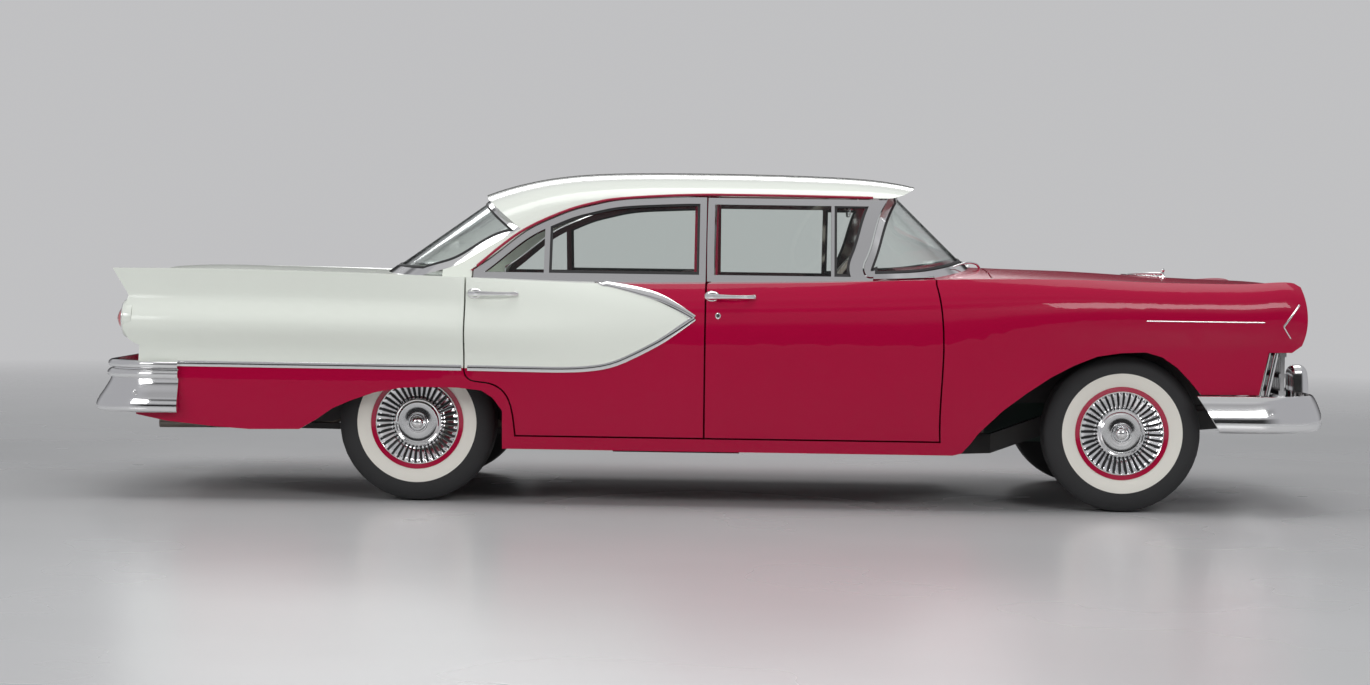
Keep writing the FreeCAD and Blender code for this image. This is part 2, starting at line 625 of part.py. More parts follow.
WHEELHOUSE_IN = 585.0
RAIL_WIDE = 62.0
RAIL_TALL = 84.0
RAIL_NOSE = 2440.0
RAIL_TAIL = -2371.0
RAIL_FRONT_Y = 410.0
RAIL_MIDDLE_Y = 580.0
RAIL_REAR_Y = 500.0
RAIL_FRONT_Z = 370.0
RAIL_LOW_Z = FLOOR_UNDER - RAIL_TALL / 2
RAIL_REAR_Z = 360.0
EXHAUST_RADIUS = 24.0
ENGINE_HALF = 290.0
KINGPIN_Y = 669.0
KINGPIN_RADIUS = 10.0
FRONT_WHEEL_Y = FRONT_TRACK / 2
REAR_WHEEL_Y = REAR_TRACK / 2
SPINDLE_RADIUS = 19.0
RUNNING_FIT = 0.05
SEAT_GAP = 0.3


def front_fenders():
    """Both front fenders, with the headlamp pods at their front ends."""
    inner_edge = 620.0
    region = box((0, RUN), (inner_edge, RUN), (SILL_LOW, RUN))
    fender = SHELL.common(region).common(before_front_edge(GAP)).cut(hood_region(GAP)).cut(FRONT_ARCH)
    fender = fender.cut(box((0, HOOD_REAR), (0, HOOD_HALF_REAR + GAP), (0, RUN)))
    lamp = rod(V(HEADLAMP_FACE - HEADLAMP_DEEP, HEADLAMP_Y, HEADLAMP_Z), V(RUN, HEADLAMP_Y, HEADLAMP_Z),
               HEADLAMP_RADIUS + SEAT_GAP)
    return both(largest(fender.cut(lamp)))


def front_panel():
    """The panel between the headlamps, over the grille opening."""
    half = 620.0
    return largest(SHELL.common(box((0, RUN), (-half, half), (GRILLE_TOP, HOOD_LIP - GAP))))


def cowl():
    """The cowl top ahead of the windshield, with its hood rests and the firewall."""
    back = 820.0
    plate = 20.0
    half = 740.0
    edge = HOOD_HALF_REAR + GAP
    top = SHELL.common(box((back, HOOD_REAR - GAP), (-edge, edge), (BELT - SKIN, RUN)))
    rest_in, rest_out = 480.0, 520.0
    rest = SHELL.common(box((HOOD_REAR - 2 * GAP, HOOD_REAR - SEAT_GAP), (rest_in, rest_out), (BELT, RUN)))
    wall = box((FIREWALL, FIREWALL + plate), (-half, half), (TOE_TOP, RUN)).common(INNER)
    return largest(top.fuse(rest).fuse(mirrored(rest)).fuse(wall))


def side_frames(roof):
    """Each side's rocker with the hinge pillar, the centre pillar and its door seals."""
    front = edge_line(GAP)[-1][0]
    rocker = OUTER.common(box((ROCKER_REAR, front), (ROCKER_IN, RUN), (SILL_LOW, ROCKER_TOP)))
    lip = box((ROCKER_REAR, front), (ROCKER_IN, ROCKER_IN + ROCKER_LIP), (SILL_LOW, FLOOR_TOP + FLOOR_WALL / 2))

    def post(clear, deep, back, ahead, top):
        lean = (INNER_LOW - INNER_BELT) / (BELT - DOOR_LOW)
        knee = min(top, BELT)
        outer = [(INNER_LOW - clear, ROCKER_TOP), (INNER_LOW - clear - lean * (knee - DOOR_LOW), knee)]
        if top > BELT:
            outer.append((window_y(DRIP) - FRAME_DEPTH - clear, top))
        inner = [(y - deep, z) for y, z in reversed(outer)]
        return end_prism(loop(outer + inner), REAR_HINGE + back, REAR_HINGE + ahead)

    post_clear, post_deep, post_half = 14.0, 45.0, 50.0
    seal_near, seal_far = 26.0, 40.0
    pillar = largest(post(post_clear, post_deep, -post_half, post_half, DRIP + GAP).cut(roof))
    for back in (-seal_far, seal_near):
        pillar = pillar.fuse(post(SEAT_GAP, post_clear, back, back + seal_far - seal_near, BELT - 2 * SKIN))
    hinge_in, hinge_out, hinge_long, hinge_top = 760.0, 930.0, 85.0, 930.0
    hinge = box((0, front + hinge_long), (hinge_in, hinge_out), (SILL_LOW, hinge_top))
    hinge = hinge.common(before_front_edge(GAP)).common(INNER).cut(FRONT_ARCH)
    return both(rocker.fuse(lip).fuse(pillar).fuse(largest(hinge)).removeSplitter())


def wheelhouse(wall):
    """A rear wheelhouse's form, a wall's thickness inside its outside."""
    scale = WHEELHOUSE_SIZE - wall
    points = [(REAR_AXLE + x * scale, TYRE_RADIUS + z * scale) for x, z in WHEELHOUSE_SHARES]
    points = [(points[0][0], SILL_LOW)] + points + [(points[-1][0], SILL_LOW)]
    return side_prism([points[:2], points[1:-1], points[-2:], [points[-1], points[0]]], WHEELHOUSE_IN + wall, RUN)


def rear_quarters():
    """Both quarter panels, each with its wheelhouse and lock pillar."""
    region = box((-RUN, ROCKER_REAR), (LID_HALF + GAP, RUN), (SILL_LOW, RUN))
    skin = SHELL.common(region).cut(REAR_ARCH)
    house_wall = 15.0
    above = box((-RUN, RUN), (0, RUN), (TRUNK_FLOOR, RUN))
    house = wheelhouse(0).cut(wheelhouse(house_wall)).common(INNER).common(above)
    post_long, post_in = 70.0, 765.0
    post = box((REAR_HINGE - REAR_DOOR_REACH - post_long, ROCKER_REAR), (post_in, RUN), (ROCKER_TOP, BELT))
    post = post.common(INNER).cut(wheelhouse(0)).cut(REAR_ARCH)
    quarter = skin.fuse(house).fuse(post).cut(rear_door_swing(GAP))
    lamp = rod(V(TAIL_LAMP_FACE + TAIL_LAMP_DEEP, TAIL_LAMP_Y, TAIL_LAMP_Z), V(-RUN, TAIL_LAMP_Y, TAIL_LAMP_Z),
               TAIL_LAMP_RADIUS + SEAT_GAP)
    return both(largest(quarter.cut(lamp)))


def rear_panels():
    """The deck ahead of the trunk lid, and the panel under the lid with two rests for it."""
    deck_front, deck_low = 1062.0, BELT - 2 * SKIN
    half = LID_HALF + GAP
    deck = SHELL.common(box((LID_FRONT + GAP, -deck_front), (-half, half), (deck_low, RUN)))
    panel = SHELL.common(box((-RUN, REAR_AXLE), (-half, half), (TRUNK_FLOOR - FLOOR_WALL, LID_LIP - GAP)))
    rest_in, rest_out, rest_wall = 380.0, 420.0, 18.0
    rest = box((REAR_FACE + SKIN - rest_wall, REAR_FACE + SKIN), (rest_in, rest_out), (LID_LIP - 2 * GAP, LID_LIP - SEAT_GAP))
    return Part.makeCompound([largest(deck), largest(largest(panel).fuse(rest).fuse(mirrored(rest)))])


def floor_pan():
    """The floor, from the toe board over the rear axle to the trunk, with its tunnel."""
    line = [(FIREWALL, TOE_TOP), (1040.0, FLOOR_TOP), (-440.0, FLOOR_TOP), (-490.0, SEAT_STEP), (-900.0, SEAT_STEP),
            (-980.0, AXLE_HUMP), (-1560.0, AXLE_HUMP), (-1640.0, TRUNK_FLOOR), (REAR_FACE + SKIN, TRUNK_FLOOR)]
    below = [(FIREWALL + FLOOR_WALL, TOE_TOP), (1040.0 + FLOOR_WALL / 2, FLOOR_UNDER)]
    below += [(-440.0 - FLOOR_WALL, FLOOR_UNDER), (-490.0 - FLOOR_WALL, SEAT_STEP - FLOOR_WALL)]
    below += [(-900.0 - FLOOR_WALL / 2, SEAT_STEP - FLOOR_WALL), (-980.0 - FLOOR_WALL / 2, AXLE_HUMP - FLOOR_WALL)]
    below += [(-1560.0 + FLOOR_WALL / 2, AXLE_HUMP - FLOOR_WALL), (-1640.0 + FLOOR_WALL / 2, TRUNK_FLOOR - FLOOR_WALL)]
    below += [(REAR_FACE + SKIN, TRUNK_FLOOR - FLOOR_WALL)]
    floor = side_prism(loop(line + below[::-1]), -ROCKER_IN, ROCKER_IN)
    house_back = REAR_AXLE + WHEELHOUSE_SHARES[0][0] * WHEELHOUSE_SIZE
    sides = box((-RUN, ROCKER_REAR), (WHEELHOUSE_IN, RUN), (0, RUN))
    floor = floor.cut(sides).cut(mirrored(sides))
    well = box((REAR_FACE + SKIN, house_back - GAP), (WHEELHOUSE_IN, RUN), (TRUNK_FLOOR - FLOOR_WALL, TRUNK_FLOOR)).common(INNER)
    floor = floor.fuse(well).fuse(mirrored(well))
    tunnel_end = -490.0
    bump = rod(V(FIREWALL, 0, FLOOR_UNDER), V(tunnel_end, 0, FLOOR_UNDER), TUNNEL_RADIUS)
    hollow = rod(V(RUN, 0, FLOOR_UNDER), V(tunnel_end - 2 * FLOOR_WALL, 0, FLOOR_UNDER), TUNNEL_RADIUS - FLOOR_WALL)
    bump = bump.cut(box((-RUN, RUN), (-RUN, RUN), (-RUN, FLOOR_UNDER)))
    return largest(floor.fuse(bump).cut(hollow))


def aprons():
    """The inner panels beside the engine, over the front wheels."""
    inner, wall, low, shelf, outer = 430.0, 14.0, 440.0, 745.0, 915.0
    front = 2240.0
    points = [(inner, low), (inner, shelf + wall), (outer, shelf + wall), (outer, shelf), (inner + wall, shelf),
              (inner + wall, low)]
    apron = end_prism(loop(points), FIREWALL + FLOOR_WALL, front)
    return both(largest(apron.common(INNER)))


def frame():
    """The ladder frame: two side rails, bent up over the axles, with cross-members."""
    places = [(RAIL_NOSE, RAIL_FRONT_Y, 400.0), (2110.0, RAIL_FRONT_Y, RAIL_FRONT_Z), (1545.0, RAIL_FRONT_Y, RAIL_FRONT_Z),
              (1240.0, RAIL_FRONT_Y, RAIL_LOW_Z), (925.0, RAIL_MIDDLE_Y, RAIL_LOW_Z), (-660.0, RAIL_MIDDLE_Y, RAIL_LOW_Z),
              (-950.0, RAIL_REAR_Y, 400.0), (-1060.0, RAIL_REAR_Y, 440.0), (-1400.0, RAIL_REAR_Y, 440.0),
              (-1640.0, RAIL_REAR_Y, RAIL_REAR_Z), (RAIL_TAIL, RAIL_REAR_Y, RAIL_REAR_Z)]
    loops = []
    for x, y, z in places:
        corners = [V(x, y - RAIL_WIDE / 2, z - RAIL_TALL / 2), V(x, y + RAIL_WIDE / 2, z - RAIL_TALL / 2),
                   V(x, y + RAIL_WIDE / 2, z + RAIL_TALL / 2), V(x, y - RAIL_WIDE / 2, z + RAIL_TALL / 2)]
        loops.append(Part.makePolygon(corners + corners[:1]))
    rail = Part.makeLoft(loops, True, True)
    members = [(2250.0, 90.0, RAIL_FRONT_Z, RAIL_FRONT_Y), (FRONT_AXLE, 110.0, RAIL_FRONT_Z, RAIL_FRONT_Y),
               (-1900.0, 80.0, RAIL_REAR_Z, RAIL_REAR_Y), (-880.0, 70.0, 401.0, RAIL_REAR_Y)]
    solid = rail.fuse(mirrored(rail))
    for x, long, z, half in members:
        solid = solid.fuse(box((x - long / 2, x + long / 2), (-half, half), (z - RAIL_TALL / 3.5, z + RAIL_TALL / 3.5)))
    return largest(solid)


def bumper(end, side, tip, radius, section):
    """A wrap-round bar: a section swept from one side's end round the corners to the other's."""
    ahead = math.copysign(1, tip - end)
    corner = tip - ahead * radius
    spread = radius * math.sqrt(2) / 2
    start = side - radius
    bend = Part.Arc(V(corner, side, 0), V(corner + ahead * spread, start + spread, 0), V(tip, start, 0)).toShape()
    other = Part.Arc(V(tip, -start, 0), V(corner + ahead * spread, -start - spread, 0), V(corner, -side, 0)).toShape()
    path = Part.Wire([Part.makeLine(V(end, side, 0), V(corner, side, 0)), bend,
                      Part.makeLine(V(tip, start, 0), V(tip, -start, 0)), other,
                      Part.makeLine(V(corner, -side, 0), V(end, -side, 0))])
    profile = Part.makePolygon([V(end, side + out, z) for out, z in section + section[:1]])
    return path.makePipeShell([profile], True, False)


def front_bumper():
    end, side, front, radius = 2060.0, 921.0, 2591.0, 290.0
    section = [(0, 352.0), (26.0, 350.0), (40.0, 368.0), (46.0, 400.0), (40.0, 432.0), (26.0, 470.0), (10.0, BUMPER_TOP),
               (0, BUMPER_TOP), (12.0, 460.0), (24.0, 400.0), (18.0, 374.0)]
    bar = bumper(end, side, front, radius, section)
    slant = side_prism(loop([(1900.0, 600.0), (2074.0, 514.0), (2184.0, 340.0), (1900.0, 340.0)]))
    bar = bar.cut(slant)
    guard_in, guard_out, guard_back, guard_front, guard_top = 412.0, 488.0, 2520.0, 2622.0, 625.0
    points = [(guard_back, 380.0), (guard_front, 380.0), (guard_front - 10.0, 520.0), (guard_front - 26.0, guard_top),
              (guard_back + 20.0, guard_top)]
    guard = side_prism(loop(points), guard_in, guard_out)
    arm = box((RAIL_NOSE, front + 20.0), (RAIL_FRONT_Y - RAIL_WIDE / 2, RAIL_FRONT_Y + RAIL_WIDE / 2), (370.0, 440.0))
    for piece in (guard, mirrored(guard), arm, mirrored(arm)):
        bar = bar.fuse(piece)
    return largest(bar)


def rear_bumper():
    end, side, back, radius = -2235.0, 924.0, -2594.0, 240.0
    section = [(0, 372.0), (34.0, 372.0), (44.0, 405.0), (22.0, 470.0), (8.0, 500.0), (6.0, 514.0), (28.0, 520.0),
               (28.0, 545.0), (8.0, 550.0), (34.0, 558.0), (34.0, 585.0), (0, 590.0)]
    bar = bumper(end, side, back, radius, section)
    arm = box((back - 8.0, RAIL_TAIL), (RAIL_REAR_Y - RAIL_WIDE / 2, RAIL_REAR_Y + RAIL_WIDE / 2), (376.0, 400.0))
    return largest(bar.fuse(arm).fuse(mirrored(arm)))


def grille():
    """Full-width grille: level bars joined by upright blades."""
    low, face, deep = BUMPER_TOP + GAP, 2440.0, 30.0
    half, bar, blade, step_back = 880.0, 18.0, 6.0, 6.0
    solid = box((face - deep, face), (-half, half), (low, low + bar))
    for z, reach in ((POD_LOW, half), (GRILLE_TOP, GRILLE_HALF), ((low + POD_LOW) / 2, half)):
        solid = solid.fuse(box((face - deep, face), (-reach, reach), (z - bar, z)))
    count = 22
    for i in range(-count, count + 1):
        y = i * (half - blade) / count
        top = GRILLE_TOP if abs(y) < GRILLE_HALF else POD_LOW
        solid = solid.fuse(box((face - deep + step_back, face - step_back), (y - blade / 2, y + blade / 2), (low, top - bar / 2)))
    return largest(solid.removeSplitter())


def headlamps():
    """Both sealed lamps with their bright rims."""
    rim_back, face = HEADLAMP_FACE - HEADLAMP_DEEP, HEADLAMP_FACE - GAP
    rim = rod(V(rim_back, HEADLAMP_Y, HEADLAMP_Z), V(face, HEADLAMP_Y, HEADLAMP_Z), HEADLAMP_RADIUS)
    curve_radius, lens_wall = 2 * HEADLAMP_LENS, 30.0
    dome = Part.makeSphere(curve_radius, V(face - curve_radius, HEADLAMP_Y, HEADLAMP_Z))
    hollow = rod(V(face - lens_wall, HEADLAMP_Y, HEADLAMP_Z), V(RUN, HEADLAMP_Y, HEADLAMP_Z), HEADLAMP_LENS)
    return both(rim.cut(hollow).fuse(dome.common(hollow)))


def tail_lamps():
    """Both round tail lamps."""
    dome_radius, dome_out = 160.0, 16.0
    drum = rod(V(TAIL_LAMP_FACE + TAIL_LAMP_DEEP, TAIL_LAMP_Y, TAIL_LAMP_Z), V(-RUN, TAIL_LAMP_Y, TAIL_LAMP_Z),
               TAIL_LAMP_RADIUS)
    dome = Part.makeSphere(dome_radius, V(TAIL_LAMP_FACE - dome_out + dome_radius, TAIL_LAMP_Y, TAIL_LAMP_Z))
    return both(drum.common(dome))


def front_seat():
    """The front bench: a skirt, a cushion and a leaning back."""
    half = 655.0
    low = FLOOR_TOP + SEAT_GAP
    points = [(-190.0, low), (380.0, low), (400.0, 430.0), (450.0, 460.0), (455.0, 570.0), (420.0, 597.0),
              (-30.0, 570.0), (-120.0, 985.0), (-150.0, 1010.0), (-200.0, 1000.0), (-235.0, 960.0), (-225.0, 430.0),
              (-190.0, 400.0)]
    seat = side_prism(loop(points), -half, half)
    tunnel = rod(V(-RUN, 0, FLOOR_UNDER), V(RUN, 0, FLOOR_UNDER), TUNNEL_RADIUS + SEAT_GAP)
    return largest(seat.cut(tunnel))


def rear_seat():
    """The rear bench, on the step over the axle."""
    half = 570.0
    low, high = SEAT_STEP + SEAT_GAP, AXLE_HUMP + SEAT_GAP
    points = [(-460.0, low), (-440.0, 580.0), (-470.0, 602.0), (-890.0, 572.0), (-985.0, 965.0), (-1010.0, 980.0),
              (-1050.0, 960.0), (-1035.0, high), (-970.0, high), (-890.0, low)]
    return side_prism(loop(points), -half, half)


def dashboard(column):
    """The instrument panel, up to the cowl's underside."""
    half = 700.0
    points = [(930.0, 760.0), (760.0, 760.0), (712.0, 800.0), (700.0, 880.0), (735.0, 940.0), (820.0, 962.0),
              (850.0, 1040.0), (945.0, 1040.0)]
    dash = side_prism(loop(points), -half, half).common(INNER)
    return largest(dash.cut(column))


COLUMN_Y = 370.0
COLUMN_TOP = V(520.0, COLUMN_Y, 900.0)
COLUMN_FOOT = V(1140.0, COLUMN_Y, 404.0)
COLUMN_RADIUS = 24.0


def steering_column(*around):
    """The column with its two-spoke wheel."""
    radius, ring, hub_half, hub_radius, spoke = 213.0, 11.0, 21.0, 44.0, 8.0
    axis = (COLUMN_FOOT - COLUMN_TOP).normalize()
    column = rod(COLUMN_TOP, COLUMN_FOOT, COLUMN_RADIUS)
    for piece in around:
        column = column.cut(piece)
    column = min(column.Solids, key=lambda solid: solid.CenterOfMass.x)
    wheel = Part.makeTorus(radius, ring, COLUMN_TOP, axis)
    hub = rod(COLUMN_TOP - axis * hub_half, COLUMN_TOP + axis * hub_half, hub_radius)
    arm = rod(COLUMN_TOP - V(0, radius, 0), COLUMN_TOP + V(0, radius, 0), spoke)
    return largest(column.fuse(hub).fuse(arm).fuse(wheel))


def engine():
    """The engine and gearbox, as one plain mass on its mounts."""
    bell_back = FIREWALL + 2 * FLOOR_WALL
    block = box((1225.0, 1960.0), (-ENGINE_HALF, ENGINE_HALF), (440.0, 830.0))
    sump = box((1300.0, 1690.0), (-150.0, 150.0), (250.0, 440.0))
    gearbox = box((720.0, 1300.0), (-75.0, 75.0), (232.0, 385.0))
    bell = box((bell_back, 1300.0), (-180.0, 180.0), (260.0, 520.0))
    solid = block.fuse(sump).fuse(gearbox).fuse(bell)
    mount = box((1560.0, 1620.0), (ENGINE_HALF - 10.0, RAIL_FRONT_Y - RAIL_WIDE / 2), (380.0, 460.0))
    return largest(solid.fuse(mount).fuse(mirrored(mount)))


def front_suspension():
    """The front arms and coil springs on each side of the frame."""
    x, arm_low, arm_high, arm_thick = FRONT_AXLE, 205.0, 452.0, 24.0
    root, side, tower_out = RAIL_FRONT_Y - RAIL_WIDE / 2, RAIL_FRONT_Y + RAIL_WIDE / 2, 500.0
    rail_under = RAIL_FRONT_Z - RAIL_TALL / 2
    eye, arm_wide = 22.0, 70.0
    solid = box((x - 60.0, x + 60.0), (root, tower_out), (200.0, rail_under))
    solid = solid.fuse(box((x - 55.0, x + 55.0), (side, tower_out), (rail_under - 1.0, 439.0)))
    solid = solid.fuse(box((x - 55.0, x + 55.0), (side + 6.0, tower_out), (430.0, 490.0)))
    for low in (arm_low, arm_high):
        points = [(x - arm_wide, tower_out - 20.0), (x + arm_wide, tower_out - 20.0), (x + eye, KINGPIN_Y),
                  (x - eye, KINGPIN_Y)]
        arm = plan_prism(loop(points), low, low + arm_thick)
        arm = arm.fuse(rod(V(x, KINGPIN_Y, low), V(x, KINGPIN_Y, low + arm_thick), eye))
        bore = rod(V(x, KINGPIN_Y, low - 1.0), V(x, KINGPIN_Y, low + arm_thick + 1.0), KINGPIN_RADIUS + SEAT_GAP)
        solid = solid.fuse(arm.cut(bore))
    spring = rod(V(x, 556.0, arm_low + arm_thick), V(x, 556.0, arm_high), 42.0)
    return both(largest(solid.fuse(spring)))


def knuckle():
    """A steering knuckle: kingpin, upright, backing plate and spindle."""
    x, z = FRONT_AXLE, TYRE_RADIUS
    upright_low, upright_high, half = 234.0, 447.0, 22.0
    plate_in, plate_out, plate_radius = 692.0, 700.0, 132.0
    spindle_end = FRONT_WHEEL_Y + 55.0
    solid = box((x - half, x + half), (KINGPIN_Y - half, plate_in), (upright_low, upright_high))
    solid = solid.fuse(rod(V(x, KINGPIN_Y, 203.0), V(x, KINGPIN_Y, 478.0), KINGPIN_RADIUS))
    solid = solid.fuse(rod(V(x, plate_in - 1.0, z), V(x, plate_out, z), plate_radius))
    solid = solid.fuse(rod(V(x, plate_in, z), V(x, spindle_end, z), SPINDLE_RADIUS))
    return largest(solid)


BEAD = RIM_RADIUS - 20.0
FLANGE = TYRE_WIDTH / 2 - 18.0


def rim_profile(stop):
    """A wheel's section with its hub, drum and dished cover: radius, and place out from the wheel's centre."""
    wall = 5.0
    bore = SPINDLE_RADIUS + RUNNING_FIT
    hub, drum = 46.0, 140.0
    return [(bore, stop), (hub, stop), (hub, -10.0), (drum, -10.0), (drum, stop + 6.0), (drum + 12.0, stop + 6.0),
            (drum + 12.0, 6.0), (BEAD - wall, 20.0), (BEAD - wall, -FLANGE - 4.0), (RIM_RADIUS, -FLANGE - 4.0),
            (RIM_RADIUS, -FLANGE), (BEAD, 4.0 - FLANGE), (BEAD, FLANGE - 4.0), (RIM_RADIUS, FLANGE),
            (RIM_RADIUS, FLANGE + 6.0), (BEAD - 4.0, FLANGE + 2.0), (102.0, 42.0), (84.0, 58.0), (42.0, 62.0),
            (30.0, 78.0), (0, 84.0), (0, 58.0), (bore, 58.0)]


def tyre_profile():
    """A tyre's section: its beads, bulged walls and tread."""
    half = TYRE_WIDTH / 2
    tread, bulge = half - 25.0, (RIM_RADIUS + TYRE_RADIUS) / 2
    return [(BEAD, FLANGE - 4.0), (RIM_RADIUS, FLANGE), (bulge, half), (TYRE_RADIUS, tread), (TYRE_RADIUS, -tread),
            (bulge, -half), (RIM_RADIUS, -FLANGE), (BEAD, 4.0 - FLANGE)]


REAR_HUB_STOP = -49.0


def wheels():
    made = {}
    z = TYRE_RADIUS
    for name, x, y, stop in (("front", FRONT_AXLE, FRONT_WHEEL_Y, 700.0 + SEAT_GAP - FRONT_WHEEL_Y),
                             ("rear", REAR_AXLE, REAR_WHEEL_Y, REAR_HUB_STOP)):
        left = wheel_turned(rim_profile(stop), x, y, z, 1)
        made[f"wheel_{name}_left"] = left
        made[f"wheel_{name}_right"] = mirrored(left)
        tyre = wheel_turned(tyre_profile(), x, y, z, 1)
        made[f"tyre_{name}_left"] = tyre
        made[f"tyre_{name}_right"] = mirrored(tyre)
    return made


def rear_axle(rails):
    """The axle with its differential, leaf springs and drive shaft."""
    x, z = REAR_AXLE, TYRE_RADIUS
    end = REAR_WHEEL_Y + 50.0
    tube_end = REAR_WHEEL_Y + REAR_HUB_STOP - SEAT_GAP
    solid = rod(V(x, -tube_end, z), V(x, tube_end, z), 38.0)
    solid = solid.fuse(rod(V(x, -end, z), V(x, end, z), SPINDLE_RADIUS))
    solid = solid.fuse(Part.makeSphere(122.0, V(x, 0, z)))
    solid = solid.fuse(rod(V(x, 0, z), V(x + 190.0, 0, z), 44.0))
    solid = solid.fuse(rod(V(x + 100.0, 0, z), V(719.0, 0, 312.0), 36.0))
    near, far, leaf = 474.0, 526.0, 26.0
    top = [(-1880.0, 312.0), (-1500.0, 309.0), (x, 306.0), (-1060.0, 304.0), (-860.0, 300.0)]
    spring = side_prism(loop(top + [(a, b - leaf) for a, b in reversed(top)]), near, far)
    for back, ahead in ((-1880.0, -1840.0), (-895.0, -860.0)):
        spring = spring.fuse(box((back, ahead), (near + 26.0, far), (295.0, 340.0)))
    spring = largest(spring.cut(rails))
    return largest(solid.fuse(spring).fuse(mirrored(spring)))


def tube(points, radius, bend):
    """A round tube along straight runs joined by arcs."""
    points = [V(*p) for p in points]
    edges = []
    start = points[0]
    for before, corner, after in zip(points, points[1:], points[2:]):
        a, b = (before - corner).normalize(), (after - corner).normalize()
        half = a.getAngle(b) / 2
        reach = bend / math.tan(half)
        one, two = corner + a * reach, corner + b * reach
        middle = corner + (a + b).normalize() * (bend / math.sin(half) - bend)
        edges.append(Part.makeLine(start, one))
        edges.append(Part.Arc(one, middle, two).toShape())
        start = two
    edges.append(Part.makeLine(start, points[-1]))
    ring = Part.Wire(Part.makeCircle(radius, points[0], points[1] - points[0]))
    return Part.Wire(edges).makePipeShell([ring], True, False)


def exhaust():
    """The exhaust pipe with its muffler, against the engine's side."""
    y = -ENGINE_HALF - EXHAUST_RADIUS - SEAT_GAP
    low, over = 240.0, 455.0
    pipe = tube([(1262.0, y, 560.0), (1180.0, y, low), (-860.0, y, low), (-1050.0, y, over), (-1420.0, y, over),
                 (-1690.0, y, 298.0), (-2440.0, y, 290.0)], EXHAUST_RADIUS, 90.0)
    muffler = rod(V(140.0, y, low), V(-420.0, y, low), 52.0)
    return largest(pipe.fuse(muffler))


def fuel_tank():
    """The fuel tank under the trunk floor."""
    return box((-2330.0, -1960.0), (-260.0, 400.0), (300.0, TRUNK_FLOOR - FLOOR_WALL))


def body_mouldings():
    """The bright line along the quarters."""
    low, high, proud = 566.0, 592.0, 5.0
    front, back = REAR_HINGE - REAR_DOOR_REACH - 2 * GAP, -2215.0
    band = box((back, front), (LID_HALF, RUN), (low, high))
    return both(largest(OUTER.translated(V(0, proud, 0)).common(band).cut(OUTER)))


made = pieces()
for name in [name for name in made if name.startswith("door")]:
    made[name.replace("left", "right")] = mirrored(made[name])
made["front_fenders"] = front_fenders()
made["front_panel"] = front_panel()
made["cowl"] = cowl()
made["side_frames"] = side_frames(made["roof"])
made["rear_quarters"] = rear_quarters()
made["rear_panels"] = rear_panels()
made["floor_pan"] = floor_pan()
made["aprons"] = aprons()
made["frame"] = frame()
made["front_bumper"] = front_bumper()
made["rear_bumper"] = rear_bumper()
made["grille"] = grille()
made["headlamps"] = headlamps()
made["tail_lamps"] = tail_lamps()
made["front_seat"] = front_seat()
made["rear_seat"] = rear_seat()
made["steering_column"] = steering_column(made["floor_pan"], made["cowl"])
made["dashboard"] = dashboard(rod(COLUMN_TOP, COLUMN_FOOT, COLUMN_RADIUS + SEAT_GAP))
made["engine"] = engine()
made["front_suspension"] = front_suspension()
made["knuckle_left"] = knuckle()
made["knuckle_right"] = mirrored(made["knuckle_left"])
made["rear_axle"] = rear_axle(made["frame"])
made["exhaust"] = exhaust()
made["fuel_tank"] = fuel_tank()
made["body_mouldings"] = body_mouldings()
made.update(wheels())
for name, shape in made.items():
    print(name, shape.isValid(), len(shape.Solids), round(shape.Volume / 1e6, 2))
    export(name, shape)
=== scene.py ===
"""A four-door sedan of the 1950s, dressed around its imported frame."""

import logging
import math
from dataclasses import dataclass
from enum import Enum
from functools import partialmethod
from typing import Callable, Iterator, Sequence

import bmesh
import bpy
from mathutils import Matrix, Vector
from mathutils.bvhtree import BVHTree

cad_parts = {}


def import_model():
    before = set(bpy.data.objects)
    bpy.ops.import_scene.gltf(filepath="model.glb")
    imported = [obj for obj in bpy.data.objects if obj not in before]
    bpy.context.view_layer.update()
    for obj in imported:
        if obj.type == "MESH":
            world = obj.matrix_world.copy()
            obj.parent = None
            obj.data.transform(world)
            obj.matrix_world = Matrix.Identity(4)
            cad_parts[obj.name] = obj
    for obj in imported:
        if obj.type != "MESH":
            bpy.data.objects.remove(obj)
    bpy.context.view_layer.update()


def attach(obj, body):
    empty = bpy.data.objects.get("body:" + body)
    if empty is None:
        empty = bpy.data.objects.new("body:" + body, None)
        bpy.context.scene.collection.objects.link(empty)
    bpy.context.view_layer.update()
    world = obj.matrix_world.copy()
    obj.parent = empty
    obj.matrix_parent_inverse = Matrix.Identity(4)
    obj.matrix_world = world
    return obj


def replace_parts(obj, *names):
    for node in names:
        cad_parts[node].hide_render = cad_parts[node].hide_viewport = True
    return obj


log = logging.getLogger("sedan")
Pair = tuple[float, float]
Triple = tuple[float, float, float]
Line = Sequence[Pair]
Triples = Sequence[Triple]
Place = Callable[[float, float], Vector]
Mesh = bmesh.types.BMesh

# Places that several pieces share, in metres
FRONT_AXLE = 1.762
REAR_AXLE = -1.235
AXLE_Z = 0.336
FRONT_WHEEL_Y = 0.7495
REAR_WHEEL_Y = 0.7165
REAR_SEAM = -1.02
SWEEP_LOW: Line = ((-0.8, 0.578), (-0.6, 0.578), (-0.475, 0.587), (-0.39, 0.606), (-0.31, 0.641),
                   (-0.2, 0.7), (-0.12, 0.755), (-0.055, 0.803))
SWEEP_TOP: Line = ((-0.4, 0.936), (-0.29, 0.912), (-0.205, 0.886), (-0.125, 0.846), (-0.055, 0.803))

MERGE = 1e-6
TINY = 1e-9
TURN = 2 * math.pi
FORWARD = Vector((1, 0, 0))
UP = Vector((0, 0, 1))


